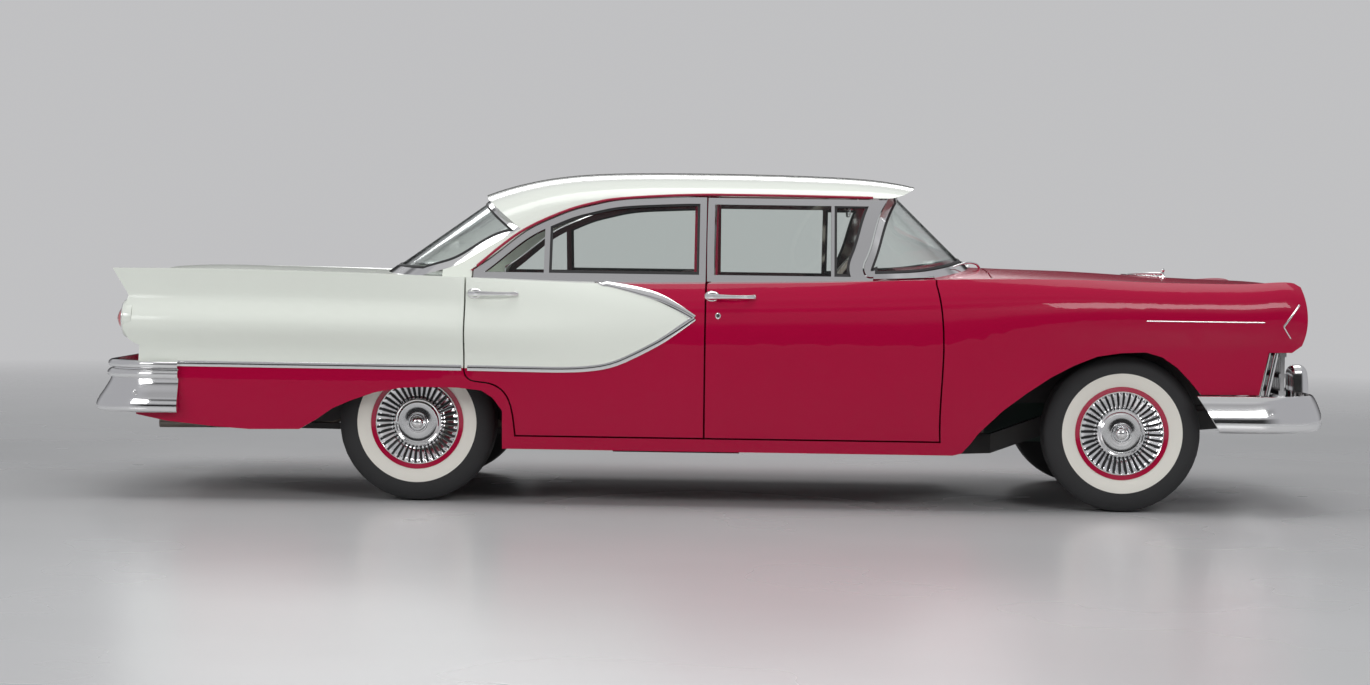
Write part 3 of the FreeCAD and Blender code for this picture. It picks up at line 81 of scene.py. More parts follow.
class Side(Enum):
    """The two sides of the car."""

    LEFT = 1
    RIGHT = -1

    @property
    def word(self) -> str:
        """The side's word in the names of nodes and bodies."""
        return self.name.lower()

    @property
    def out(self) -> Vector:
        """The direction outward on this side."""
        return Vector((0, self.value, 0))

    def at(self, x: float, y: float, z: float) -> Vector:
        """A place, or a direction, with y counted outward on this side."""
        return Vector((x, self.value * y, z))


class Row(Enum):
    """The two rows of doors, seats and wheels."""

    FRONT = "front"
    REAR = "rear"


def doors() -> Iterator[tuple[Row, Side, str]]:
    """Each door's row, side and body."""
    for row in Row:
        for side in Side:
            yield row, side, f"door_{row.value}_{side.word}"


# Shader sums and materials


class Maths:
    """A number in a shader, on which Python's operators add Math nodes."""

    def __init__(self, shader: "Shader", socket: bpy.types.NodeSocket) -> None:
        """Wraps one output socket of a shader."""
        self.shader = shader
        self.socket = socket

    def does(self, operation: str, *others: "Maths | float") -> "Maths":
        """Adds one Math node.

        Args:
            operation: the Math node's operation.
            others: the further numbers that it takes.

        Returns:
            The node's result.
        """
        sockets = dict(enumerate([self, *others]))
        return self.shader.number("Math", {"operation": operation}, sockets)

    def __rsub__(self, other: float) -> "Maths":
        """A plain number less this one."""
        return self.shader.number("Math", {"operation": "SUBTRACT"}, {0: other, 1: self})

    def held(self) -> "Maths":
        """This number, kept from 0 to 1."""
        return self.does("MAXIMUM", 0.0).does("MINIMUM", 1.0)

    __add__ = __radd__ = partialmethod(does, "ADD")
    __sub__ = partialmethod(does, "SUBTRACT")
    __mul__ = __rmul__ = partialmethod(does, "MULTIPLY")
    __truediv__ = partialmethod(does, "DIVIDE")
    __gt__ = partialmethod(does, "GREATER_THAN")
    __lt__ = partialmethod(does, "LESS_THAN")


class Shader:
    """A new material, or a world, and the nodes that make it."""

    def __init__(self, name: str, world: bool = False) -> None:
        """Makes it empty, with an output."""
        self.owner = (bpy.data.worlds if world else bpy.data.materials).new(name)
        self.owner.use_nodes = True
        self.tree = self.owner.node_tree
        self.tree.nodes.clear()
        self.end = self.node("OutputWorld" if world else "OutputMaterial", {}, {})

    def node(self, kind: str, settings: dict, sockets: dict) -> bpy.types.Node:
        """Adds one node.

        Args:
            kind: the node's type, without its first word.
            settings: its own settings, with stops for a ramp and points for a curve.
            sockets: values or links of its input sockets.

        Returns:
            The node.
        """
        made = self.tree.nodes.new("ShaderNode" + kind)
        for key, value in settings.items():
            if key == "stops":
                ramp = made.color_ramp.elements
                while len(ramp) < len(value):
                    ramp.new(1.0)
                for element, (place, colour) in zip(ramp, value):
                    element.position = place
                    element.color = colour
            elif key == "points":
                line = made.mapping.curves[0]
                for point in value[1:-1]:
                    line.points.new(*point)
                line.points[0].location = value[0]
                line.points[-1].location = value[-1]
                for point in line.points:
                    point.handle_type = "VECTOR"
                made.mapping.update()
            else:
                setattr(made, key, value)
        for key, value in sockets.items():
            if isinstance(value, Maths):
                value = value.socket
            if isinstance(value, bpy.types.NodeSocket):
                self.tree.links.new(value, made.inputs[key])
            else:
                made.inputs[key].default_value = value
        return made

    def number(self, kind: str, settings: dict, sockets: dict, output: int | str = 0) -> Maths:
        """Adds one node and gives one of its outputs as a number for sums."""
        return Maths(self, self.node(kind, settings, sockets).outputs[output])

    def place(self) -> bpy.types.NodeSocket:
        """The place on the piece, in the frame's own metres."""
        return self.node("TexCoord", {}, {}).outputs["Object"]

    def along(self) -> tuple[Maths, Maths, Maths]:
        """The three numbers of the place on the piece."""
        split = self.node("SeparateXYZ", {}, {0: self.place()})
        return tuple(Maths(self, output) for output in split.outputs)

    def noise(self, scale: float, detail: float = 3.0) -> Maths:
        """A noise over the piece, with this many patches a metre."""
        sockets = {"Vector": self.place(), "Scale": scale, "Detail": detail}
        return self.number("TexNoise", {}, sockets, "Fac")

    def blend(self, factor: Maths, low: object, high: object) -> bpy.types.NodeSocket:
        """A colour from low to high by a factor."""
        mix = self.node("Mix", {"data_type": "RGBA"}, {0: factor, 6: low, 7: high})
        return mix.outputs[2]

    def bump(self, height: Maths, depth: float) -> bpy.types.NodeSocket:
        """A normal from a height, whose full range is depth metres."""
        return self.node("Bump", {}, {"Height": height, "Distance": depth}).outputs[0]

    def ends(self, last: bpy.types.Node) -> bpy.types.ID:
        """Links the last node to the output.

        Args:
            last: the node whose first output the output takes.

        Returns:
            The material or world.
        """
        self.tree.links.new(last.outputs[0], self.end.inputs[0])
        return self.owner

    def surface(self, sockets: dict) -> bpy.types.ID:
        """Ends the material with one Principled surface, whose sockets are given as values or links."""
        return self.ends(self.node("BsdfPrincipled", {}, sockets))

    def mixed(self, factor: Maths, low: bpy.types.Node, high: bpy.types.Node) -> bpy.types.ID:
        """Ends the material or world with a mix of two nodes, from low to high by a factor."""
        return self.ends(self.node("MixShader", {}, {0: factor, 1: low.outputs[0], 2: high.outputs[0]}))


Colour = tuple[float, float, float, float]
CRIMSON: Colour = (0.41, 0.001, 0.04, 1)
WARM_WHITE: Colour = (0.8, 0.83, 0.755, 1)
# Near black: the real undercoat in the wheel wells and behind the wheels, and the painted shade in the
# turbine covers' slots
UNDERCOAT_AND_SHADE: Colour = (0.012, 0.012, 0.013, 1)


@dataclass(frozen=True)
class Finish:
    """A plain finish: a colour that wanders a little, and a fine grain."""

    name: str
    colour: Colour
    second: Colour
    roughness: float = 0.5
    rough_spread: float = 0.1
    metallic: float = 0.0
    coat: float = 0.0
    patches: float = 6.0
    grain: float = 900.0
    grain_depth: float = 0.0001
    specular: float = 0.5
    coat_rough: float = 0.03

    def material(self) -> bpy.types.Material:
        """The finish's material, made once."""
        return bpy.data.materials.get(self.name) or self.make(Shader(self.name))

    def rough(self, wander: Maths) -> Maths:
        """The roughness, which wanders with a noise."""
        return wander * self.rough_spread + self.roughness

    def grained(self, shader: Shader, detail: float = 3.0) -> bpy.types.NodeSocket:
        """The normal that the grain gives."""
        return shader.bump(shader.noise(self.grain, detail), self.grain_depth)

    def make(self, shader: Shader) -> bpy.types.Material:
        """Gives a new material its nodes."""
        wander = shader.noise(self.patches)
        return shader.surface({
            "Base Color": shader.blend(wander, self.colour, self.second),
            "Roughness": wander * self.rough_spread + (self.roughness - self.rough_spread / 2),
            "Metallic": self.metallic,
            "Coat Weight": self.coat,
            "Coat Roughness": self.coat_rough,
            "Specular IOR Level": self.specular,
            "Normal": self.grained(shader, 2.0),
        })


@dataclass(frozen=True)
class TwoTone(Finish):
    """The body's gloss paint: white over crimson, parted by the side line, with undercoat in the wells."""

    low_line: Line = ((-2.6, 0.5), (-2.262, 0.5), (-2.25, 0.579), *SWEEP_LOW)
    top_line: Line = ((-0.6, 0.99), (-0.47, 0.955), *SWEEP_TOP)
    well_y: float = 0.76
    well_z: float = 0.8
    well_reach: float = 0.56
    well_rough: float = 0.4

    def line(self, shader: Shader, x: Maths, points: Line) -> Maths:
        """The height of a line at x."""
        low, high = points[0][0], points[-1][0]
        shares = [((a - low) / (high - low), b) for a, b in points]
        return shader.number("FloatCurve", {"points": shares}, {"Value": (x - low) / (high - low)})

    def make(self, shader: Shader) -> bpy.types.Material:
        """Gives a new material its nodes."""
        x, y, z = shader.along()
        over_low = z > self.line(shader, x, self.low_line)
        under_top = z < self.line(shader, x, self.top_line)
        back = x < self.top_line[0][0]
        white = over_low * (under_top + back).does("MINIMUM", 1.0) * (x < self.top_line[-1][0])
        axles = [(x - axle).does("ABSOLUTE") < self.well_reach for axle in (FRONT_AXLE, REAR_AXLE)]
        well = (y.does("ABSOLUTE") < self.well_y) * (z < self.well_z) * (axles[0] + axles[1])
        wander = shader.noise(self.patches)
        paint = shader.blend(white, shader.blend(wander, self.colour, self.second), WARM_WHITE)
        return shader.surface({
            "Base Color": shader.blend(well, paint, UNDERCOAT_AND_SHADE),
            "Roughness": self.rough(wander) + well * self.well_rough,
            "Coat Weight": (1.0 - well) * self.coat,
            "Coat Roughness": self.coat_rough,
            "Specular IOR Level": self.specular,
            "Normal": self.grained(shader, 1.0),
        })


@dataclass(frozen=True)
class Pane(Finish):
    """Clear glass that passes light and mirrors at a slant."""

    slant_power: float = 5.0
    slant_gain: float = 0.75
    least: float = 0.025

    def make(self, shader: Shader) -> bpy.types.Material:
        """Gives a new material its nodes."""
        clear = shader.node("BsdfTransparent", {}, {"Color": self.colour})
        gloss = shader.node("BsdfPrincipled", {}, {
            "Base Color": self.second,
            "Metallic": 1.0,
            "Roughness": self.rough(shader.noise(self.patches)),
        })
        slant = shader.number("LayerWeight", {}, {}, "Facing")
        mirror = slant.does("POWER", self.slant_power) * self.slant_gain + self.least
        return shader.mixed(mirror, clear, gloss)


@dataclass(frozen=True)
class WheelFinish(Finish):
    """A finish that is laid out about a wheel's centre."""

    centre: Pair = (FRONT_AXLE, FRONT_WHEEL_Y)

    def about(self, shader: Shader) -> tuple[Maths, Maths, Maths]:
        """How far forward of the wheel's centre, outward of its middle and above its axle a point is."""
        x, y, z = shader.along()
        return x - self.centre[0], y.does("ABSOLUTE") - self.centre[1], z - AXLE_Z

    def radius(self, across: Maths, up: Maths) -> Maths:
        """How far from the axle a point is."""
        return (across * across + up * up).does("SQRT")


@dataclass(frozen=True)
class WheelPaint(WheelFinish):
    """A wheel's finish: crimson rim, chrome cover, black behind it."""

    rim: float = 0.1765
    face: float = 0.03
    back_rough: float = 0.4

    def make(self, shader: Shader) -> bpy.types.Material:
        """Gives a new material its nodes."""
        across, out, up = self.about(shader)
        ring, faced = self.radius(across, up) > self.rim, out > self.face
        cover = shader.blend(ring, CHROME.colour, CRIMSON)
        return shader.surface({
            "Base Color": shader.blend(faced, UNDERCOAT_AND_SHADE, cover),
            "Metallic": faced * (1.0 - ring),
            "Roughness": self.rough(shader.noise(self.patches)) + (1.0 - faced) * self.back_rough,
            "Coat Weight": ring,
            "Normal": self.grained(shader),
        })


@dataclass(frozen=True)
class TyreRubber(WheelFinish):
    """Tyre rubber with a cream band on its outer side."""

    band: Pair = (0.196, 0.2545)
    cream: Colour = (0.8, 0.775, 0.7, 1)
    face: float = 0.05
    band_gloss: float = 0.12

    def make(self, shader: Shader) -> bpy.types.Material:
        """Gives a new material its nodes."""
        across, out, up = self.about(shader)
        radius = self.radius(across, up)
        white = (radius > self.band[0]) * (radius < self.band[1]) * (out > self.face)
        wander = shader.noise(self.patches)
        black = shader.blend(wander, self.colour, self.second)
        return shader.surface({
            "Base Color": shader.blend(white, black, self.cream),
            "Roughness": self.rough(wander) - white * self.band_gloss,
            "Normal": self.grained(shader),
        })


@dataclass(frozen=True)
class Turbine(WheelFinish):
    """Bright vanes with painted shade in the slots between them, told apart by their place round the wheel.
    """

    vanes: int = 40
    # Where each slot's painted shade lies, as shares of one vane's span round the wheel
    slot: Pair = (0.6, 0.97)
    slot_rough: float = 0.3

    def make(self, shader: Shader) -> bpy.types.Material:
        """Gives a new material its nodes."""
        across, _, up = self.about(shader)
        part = (up.does("ARCTAN2", across) * (self.vanes / TURN) + self.vanes).does("FRACT")
        # Painted shade: the slots are coloured near black, with no metal, for the shade in the openings
        # between the vanes.
        dark = (part > self.slot[0]) * (part < self.slot[1])
        return shader.surface({
            "Base Color": shader.blend(dark, self.colour, UNDERCOAT_AND_SHADE),
            "Metallic": 1.0 - dark,
            "Roughness": self.rough(shader.noise(self.patches)) + dark * self.slot_rough,
            "Normal": self.grained(shader),
        })


@dataclass(frozen=True)
class Woven(Finish):
    """Seat cloth or carpet, with crossed threads."""

    threads: float = 450.0
    thread_share: float = 0.4

    def make(self, shader: Shader) -> bpy.types.Material:
        """Gives a new material its nodes."""
        x, y, z = shader.along()
        one = ((x + z) * (self.threads * TURN)).does("SINE")
        two = (y * (self.threads * TURN)).does("SINE")
        weave = one * two * 0.5 + 0.5
        wander = shader.noise(self.patches)
        tone = wander * (1 - self.thread_share) + weave * self.thread_share
        return shader.surface({
            "Base Color": shader.blend(tone, self.colour, self.second),
            "Roughness": self.rough(wander),
            "Normal": shader.bump(weave, self.grain_depth),
        })


# The finishes: name, two colours, roughness, its spread, metallic, coat, patches, grain and its depth
CHROME = Finish("chrome", (0.86, 0.87, 0.88, 1), (0.8, 0.81, 0.83, 1),
                0.07, 0.05, 1.0, 0.0, 9.0, 500.0, 0.00003)
BODY = TwoTone("body_paint", CRIMSON, (0.38, 0.001, 0.036, 1),
               0.2, 0.05, 0.0, 0.4, 1.5, 260.0, 0.00004, specular=0.06, coat_rough=0.02)
ROOF = Finish("roof_paint", WARM_WHITE, (0.78, 0.81, 0.735, 1), 0.2, 0.05, 0.0, 1.0, 1.5, 260.0, 0.00004)
GLASS = Pane("window_pane", (0.94, 0.96, 0.95, 1), (0.95, 0.97, 0.97, 1), 0.01, 0.03, patches=5.0)
BLACK = Finish("chassis_paint", (0.016, 0.016, 0.017, 1), (0.035, 0.032, 0.03, 1),
               0.5, 0.25, 0.0, 0.0, 14.0, 700.0, 0.0003)
IRON = Finish("engine_paint", (0.045, 0.085, 0.07, 1), (0.03, 0.05, 0.045, 1),
              0.45, 0.25, 0.0, 0.0, 12.0, 500.0, 0.0004)
STEEL = Finish("dull_steel", (0.33, 0.31, 0.29, 1), (0.16, 0.12, 0.09, 1),
               0.45, 0.3, 1.0, 0.0, 10.0, 600.0, 0.0003)
# Black rubber for the gaskets, and the painted shade round the door handles' push buttons
RUBBER_AND_SHADE = Finish("black_rubber_and_shade", (0.012, 0.012, 0.013, 1), (0.022, 0.022, 0.023, 1),
                0.6, 0.15, grain_depth=0.0002)
CARPET = Woven("carpet", (0.075, 0.006, 0.012, 1), (0.035, 0.003, 0.006, 1),
               0.9, 0.05, grain_depth=0.001, threads=160.0)
LEATHER = Finish("vinyl_red", (0.3, 0.01, 0.03, 1), (0.24, 0.008, 0.024, 1),
                 0.38, 0.12, 0.0, 0.15, 5.0, 420.0, 0.0004)
CREAM = Finish("vinyl_white", (0.72, 0.7, 0.62, 1), (0.66, 0.64, 0.56, 1),
               0.4, 0.12, 0.0, 0.15, 5.0, 420.0, 0.0004)
CLOTH = Woven("seat_cloth", (0.16, 0.015, 0.028, 1), (0.05, 0.008, 0.012, 1), 0.75, 0.1, grain_depth=0.0003)
LINING = Woven("roof_lining", (0.62, 0.6, 0.54, 1), (0.54, 0.52, 0.46, 1), 0.85, 0.05, grain_depth=0.0002)
DASH = Finish("dash_paint", (0.36, 0.004, 0.038, 1), (0.32, 0.003, 0.033, 1),
              0.28, 0.08, 0.0, 0.7, 3.0, 400.0, 0.0001)
BAKELITE = Finish("ivory_plastic", (0.66, 0.63, 0.54, 1), (0.6, 0.57, 0.48, 1),
                  0.22, 0.08, 0.0, 0.5, 6.0, 300.0, 0.00005)
DIAL = Finish("dial_black", (0.01, 0.01, 0.011, 1), (0.018, 0.018, 0.019, 1), 0.35, 0.1)
RED_LENS = Finish("red_lens", (0.66, 0.01, 0.014, 1), (0.52, 0.006, 0.01, 1),
                  0.1, 0.05, 0.0, 1.0, 20.0, 300.0, 0.0004)
CLEAR_LENS = Finish("lamp_lens", (0.72, 0.76, 0.77, 1), (0.58, 0.62, 0.64, 1),
                    0.09, 0.05, 0.25, 1.0, 25.0, 200.0, 0.0008)


# Meshes


def mapped_grid(columns: int, rows: int, place: Place) -> Mesh:
    """Makes a sheet of quads and moves each of its points.

    Args:
        columns: quads along the first direction.
        rows: quads along the second one.
        place: gives a point's place from its two shares, each from 0 to 1.

    Returns:
        The sheet.
    """
    mesh = bmesh.new()
    bmesh.ops.create_grid(mesh, x_segments=columns, y_segments=rows, size=1.0)
    for vert in mesh.verts:
        vert.co = place((vert.co.x + 1) / 2, (vert.co.y + 1) / 2)
    return mesh


def closed(mesh: Mesh) -> Mesh:
    """Merges a mesh's seams, fills its open ends and turns its faces outwards."""
    bmesh.ops.remove_doubles(mesh, verts=mesh.verts, dist=MERGE)
    rims = [edge for edge in mesh.edges if edge.is_boundary]
    if rims:
        bmesh.ops.holes_fill(mesh, edges=rims, sides=0)
    bmesh.ops.recalc_face_normals(mesh, faces=mesh.faces)
    return mesh


def thick(mesh: Mesh, depth: float) -> Mesh:
    """Gives a sheet a thickness and turns its faces outwards."""
    bmesh.ops.solidify(mesh, geom=mesh.faces[:], thickness=depth)
    bmesh.ops.recalc_face_normals(mesh, faces=mesh.faces)
    return mesh


def lathe(profile: Line, centre: Vector, axis: Vector, steps: int) -> Mesh:
    """Turns a profile about an axis.

    Args:
        profile: pairs of radius and place along the axis.
        centre: a point on the axis, from which places are measured.
        axis: the axis's direction.
        steps: flats round one turn.

    Returns:
        The turned mesh, with its faces outwards.
    """
    mesh = bmesh.new()
    out = axis.orthogonal().normalized()
    verts = [mesh.verts.new(centre + out * radius + axis * far) for radius, far in profile]
    edges = [mesh.edges.new(pair) for pair in zip(verts, verts[1:])]
    bmesh.ops.spin(mesh, geom=verts + edges, cent=centre, axis=axis, dvec=(0, 0, 0), angle=TURN,
                   steps=steps, use_merge=True, use_duplicate=False)
    return closed(mesh)


def swept(points: Sequence[Vector], outs: Sequence[Vector], section: Line,
          widths: Sequence[float] | None = None) -> Mesh:
    """Carries a closed section along a line.

    Args:
        points: the line's points.
        outs: the direction that is outward at each point.
        section: pairs of place across the line and place outward, in turn round the section.
        widths: how many times as wide the section is at each point.

    Returns:
        The closed mesh.
    """
    last = len(points) - 1
    count = len(section)

    def place(u: float, v: float) -> Vector:
        """One point of the strip."""
        i = round(u * last)
        across, rise = section[round(v * count) % count]
        way = (points[min(i + 1, last)] - points[max(i - 1, 0)]).normalized()
        wide = widths[i] if widths else 1.0
        return points[i] + way.cross(outs[i]).normalized() * across * wide + outs[i] * rise

    return closed(mapped_grid(last, count, place))


def rounded_block(size: Vector, radius: float, cuts: Sequence[int]) -> Mesh:
    """A block about the origin with round edges.

    Args:
        size: its three full sizes.
        radius: its edges' radius.
        cuts: how often it is cut along each direction.

    Returns:
        The mesh.
    """
    mesh = bmesh.new()
    bmesh.ops.create_cube(mesh, size=2.0)
    for axis, count in enumerate(cuts):
        for i in range(1, count):
            normal = Vector((0, 0, 0))
            normal[axis] = 1.0
            geometry = mesh.verts[:] + mesh.edges[:] + mesh.faces[:]
            place = normal * (2 * i / count - 1)
            bmesh.ops.bisect_plane(mesh, geom=geometry, plane_co=place, plane_no=normal)
    half = size / 2
    core = half - Vector((radius, radius, radius))
    for vert in mesh.verts:
        point = Vector([vert.co[i] * half[i] for i in range(3)])
        inner = Vector([max(-core[i], min(core[i], point[i])) for i in range(3)])
        gap = point - inner
        vert.co = inner + gap.normalized() * radius if gap.length > TINY else point
    return mesh


def wire(points: Sequence[Vector], radius: float, shares: Sequence[float] | None = None) -> Mesh:
    """A round bar along a smooth line.

    Args:
        points: the line's control points.
        radius: its radius.
        shares: the part of the radius at each point.

    Returns:
        The closed mesh.
    """
    data = bpy.data.curves.new("line", "CURVE")
    data.dimensions = "3D"
    data.bevel_depth = radius
    data.bevel_resolution = 3
    data.resolution_u = 6
    data.use_fill_caps = True
    spline = data.splines.new("NURBS")
    spline.points.add(len(points) - 1)
    for i, point in enumerate(points):
        spline.points[i].co = (*point, 1.0)
        spline.points[i].radius = shares[i] if shares else 1.0
    spline.order_u = 3
    spline.use_endpoint_u = True
    holder = bpy.data.objects.new("line", data)
    mesh = bmesh.new()
    mesh.from_mesh(bpy.data.meshes.new_from_object(holder))
    bpy.data.objects.remove(holder)
    bpy.data.curves.remove(data)
    return closed(mesh)


def joined(meshes: Sequence[Mesh]) -> Mesh:
    """Puts several meshes into one."""
    whole = bmesh.new()
    for part in meshes:
        data = bpy.data.meshes.new("part")
        part.to_mesh(data)
        whole.from_mesh(data)
        bpy.data.meshes.remove(data)
        part.free()
    return whole


def moved(mesh: Mesh, way: Vector) -> Mesh:
    """Moves a whole mesh."""
    for vert in mesh.verts:
        vert.co += way
    return mesh


def linked(name: str, data: bpy.types.ID) -> bpy.types.Object:
    """A new object of some data, in the scene."""
    made = bpy.data.objects.new(name, data)
    bpy.context.scene.collection.objects.link(made)
    return made


def filled(name: str, mesh: Mesh, material: bpy.types.Material) -> bpy.types.Mesh:
    """A mesh's data with its material. The mesh is used up."""
    data = bpy.data.meshes.new(name)
    mesh.to_mesh(data)
    mesh.free()
    data.materials.append(material)
    return data


def dress(node: str, finish: Finish) -> None:
    """Gives one CAD node its finish."""
    data = bpy.data.objects[node].data
    data.materials.clear()
    data.materials.append(finish.material())


def piece(name: str, mesh: Mesh, finish: Finish = CHROME, body: str = "root", slot: str = "chrome",
          crease: float = 35.0) -> bpy.types.Object:
    """Makes an object of a mesh, dresses it and lets it ride.

    Args:
        name: the object's name.
        mesh: its mesh, which is used up.
        finish: its finish.
        body: the CAD body that it rides on.
        slot: the slot that its finish stands for; it is not used.
        crease: the angle in degrees above which an edge stays sharp.

    Returns:
        The object.
    """
    data = filled(name, mesh, finish.material())
    data.shade_smooth()
    data.set_sharp_from_angle(angle=math.radians(crease))
    made = linked(name, data)
    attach(made, body)
    log.info("%s: %d faces on %s", name, len(data.polygons), body)
    return made


def smooth_line(points: Line, steps: int) -> list[Pair]:
    """A smooth line through points, as steps more points between each two."""
    found = []
    last = len(points) - 1
    for i in range(last):
        a, b = Vector(points[i]), Vector(points[i + 1])
        before = Vector(points[max(i - 1, 0)])
        after = Vector(points[min(i + 2, last)])
        for step in range(steps):
            t = step / steps
            cubic = (-before + 3 * a - 3 * b + after) * t**3
            square = (2 * before - 5 * a + 4 * b - after) * t * t
            found.append(tuple((2 * a + (b - before) * t + square + cubic) / 2))
    found.append(tuple(points[-1]))
    return found


class Skin:
    """The outside of some CAD nodes, on which trim is set."""

    # How far out to the side, and how high up, rays start
    beyond: float = 1.4
    over: float = 2.0

    def __init__(self, *nodes: str) -> None:
        """Reads the nodes' meshes."""
        points, faces = [], []
        for node in nodes:
            start = len(points)
            data = bpy.data.objects[node].data
            points += [vert.co.copy() for vert in data.vertices]
            faces += [[start + i for i in face.vertices] for face in data.polygons]
        self.tree = BVHTree.FromPolygons(points, faces)

    def hit(self, start: Vector, way: Vector) -> tuple[Vector, Vector]:
        """The first point that a ray meets, or the nearest one, with its outward normal."""
        point, normal, _, _ = self.tree.ray_cast(start, way)
        if point is None:
            point, normal, _, _ = self.tree.find_nearest(start)
        return point, normal if normal.dot(way) < 0 else -normal

    def beside(self, x: float, z: float, side: Side) -> tuple[Vector, Vector]:
        """The point met from one side at x and z."""
        return self.hit(side.at(x, self.beyond, z), -side.out)

    def above(self, x: float, y: float) -> tuple[Vector, Vector]:
        """The point met from above at x and y."""
        return self.hit(Vector((x, y, self.over)), -UP)

    def strip(self, places: Line, side: Side, section: Line, widths: Sequence[float] | None = None) -> Mesh:
        """A section that is carried along places on one side, each given by x and z."""
        hits = [self.beside(x, z, side) for x, z in places]
        return swept([hit[0] for hit in hits], [hit[1] for hit in hits], section, widths)


def crown(width: float, rise: float, sink: float = 0.003, steps: int = 8, power: float = 0.7) -> list[Pair]:
    """A crowned strip's section: its top is a full arc, and its foot is sunk into what carries it."""
    top = []
    for i in range(steps + 1):
        turn = math.pi * i / steps
        top.append((width / 2 * math.cos(turn), rise * math.sin(turn) ** power))
    return top + [(-width / 2, -sink), (width / 2, -sink)]


# The car's pieces


@dataclass
class CarriedNodes:
    """The CAD nodes that stay in sight, and their finishes."""

    groups: tuple[tuple[Finish, str], ...] = (
        (BODY, "front_fenders hood trunk_lid rear_quarters rear_panels front_panel cowl side_frames"),
        (CHROME, "front_bumper rear_bumper windshield_frame rear_window_frame"),
        (CHROME, "grille body_mouldings headlamps"),
        (BLACK, "frame front_suspension rear_axle knuckle_left knuckle_right aprons"),
        (GLASS, "windshield rear_window"),
        (STEEL, "exhaust fuel_tank"),
        (LEATHER, "front_seat rear_seat"),
        (ROOF, "roof"),
        (CARPET, "floor_pan"),
        (IRON, "engine"),
        (DASH, "dashboard"),
        (BAKELITE, "steering_column"),
        (RED_LENS, "tail_lamps"),
    )

    def build(self) -> None:
        """Dresses every node."""
        for finish, nodes in self.groups:
            for node in nodes.split():
                dress(node, finish)
        for _, _, door in doors():
            dress(door, BODY)
            dress(door + "_frame", CHROME)
            dress(door + "_glass", GLASS)
        log.info("CAD nodes dressed")


@dataclass
class SideSpear:
    """The bright line on a rear door: level, swept up to a point, and back along its upper branch."""

    lower: Line = ((REAR_SEAM + 0.012, 0.579), *SWEEP_LOW)
    upper: Line = (*SWEEP_TOP[::-1], (-0.47, 0.944))
    width: float = 0.026
    rise: float = 0.006
    spread: float = 0.014

    def build(self) -> None:
        """Makes the line on both rear doors."""
        for side in Side:
            body = f"door_rear_{side.word}"
            skin = Skin(body)
            parts = []
            for line, spread in ((self.lower, 0.0), (self.upper, self.spread)):
                places = smooth_line(line, steps=6)
                last = len(places) - 1
                widths = [self.width + spread * math.sin(math.pi * i / last) ** 2 for i in range(last + 1)]
                parts.append(skin.strip(places, side, crown(1.0, self.rise), widths))
            piece(f"side_spear_{side.word}", joined(parts), body=body)


@dataclass
class DoorHardware:
    """Outside handles with push buttons, painted shade round the buttons, and the front doors' key locks."""

    starts: tuple[tuple[Row, float], ...] = ((Row.FRONT, 0.0), (Row.REAR, -1.0))
    height: float = 0.893
    foot: float = 0.018
    reach: float = 0.195
    thickness: float = 0.0095
    # The bar's share of the reach, its place outward and its share of the thickness
    bar: Triples = ((0, 0.004, 1.5), (0.1, 0.016, 1.5), (0.25, 0.024, 1.15), (0.6, 0.03, 0.9),
                    (0.9, 0.0225, 0.9), (1, 0.0, 1.2))
    ring: Line = ((0.013, -0.003), (0.013, 0.01), (0.016, 0.013), (0.02, 0.011), (0.0245, 0.004),
                  (0.0255, -0.003), (0.013, -0.003))
    ring_stretch: float = 1.35
    button: Line = ((0, 0.012), (0.0072, 0.011), (0.009, 0.009), (0.009, 0.0), (0, 0.0))
    boss: Line = ((0, 0.01), (0.008, 0.008), (0.012, 0.002), (0.012, -0.003), (0, -0.003))
    # A black disc under each escutcheon, seen round the push button: painted shade of the recess there
    dish: Line = ((0, 0.004), (0.0175, 0.004), (0.0175, -0.004), (0, -0.004))
    lock: Line = ((0, 0.005), (0.007, 0.005), (0.008, 0.006), (0.011, 0.004), (0.013, -0.003), (0, -0.003))
    lock_place: Pair = (0.045, 0.815)
    lock_drop: float = 1.4

    def handle(self, skin: Skin, side: Side, start: float) -> Mesh:
        """One handle: an escutcheon with its button, and a bar that runs forward from it.

        Args:
            skin: the door's outside.
            side: the car's side.
            start: where the rear end is.

        Returns:
            The handle's mesh.
        """
        line = [skin.beside(start + self.reach * share, self.height, side)[0] + side.out * lift
                for share, lift, _ in self.bar]
        foot, _ = skin.beside(start + self.foot, self.height, side)
        end, _ = skin.beside(start + self.reach, self.height, side)
        plate = lathe(self.ring, foot, side.out, steps=32)
        for vert in plate.verts:
            vert.co.x = foot.x + (vert.co.x - foot.x) * self.ring_stretch
        bar = wire(line, self.thickness, [part for _, _, part in self.bar])
        button = lathe(self.button, foot, side.out, steps=24)
        return joined([bar, plate, button, lathe(self.boss, end, side.out, steps=20)])

    def build(self) -> None:
        """Makes the handles and locks."""
        for side in Side:
            for row, start in self.starts:
                body = f"door_{row.value}_{side.word}"
                skin = Skin(body)
                piece(f"handle_{row.value}_{side.word}", self.handle(skin, side, start), body=body)
                foot, _ = skin.beside(start + self.foot, self.height, side)
                # Painted shade: a black disc round each push button, in the rubber finish, for the shade in
                # its recess.
                dish = lathe(self.dish, foot, side.out, steps=32)
                piece(f"handle_dish_{row.value}_{side.word}", dish, RUBBER_AND_SHADE, body, "rubber")
            body = f"door_front_{side.word}"
            spot, _ = Skin(body).beside(*self.lock_place, side)
            lock = lathe(self.lock, spot, side.out, steps=24)
            for vert in lock.verts:
                if vert.co.z < spot.z:
                    vert.co.z = spot.z + (vert.co.z - spot.z) * self.lock_drop
            piece(f"key_lock_{side.word}", lock, body=body)


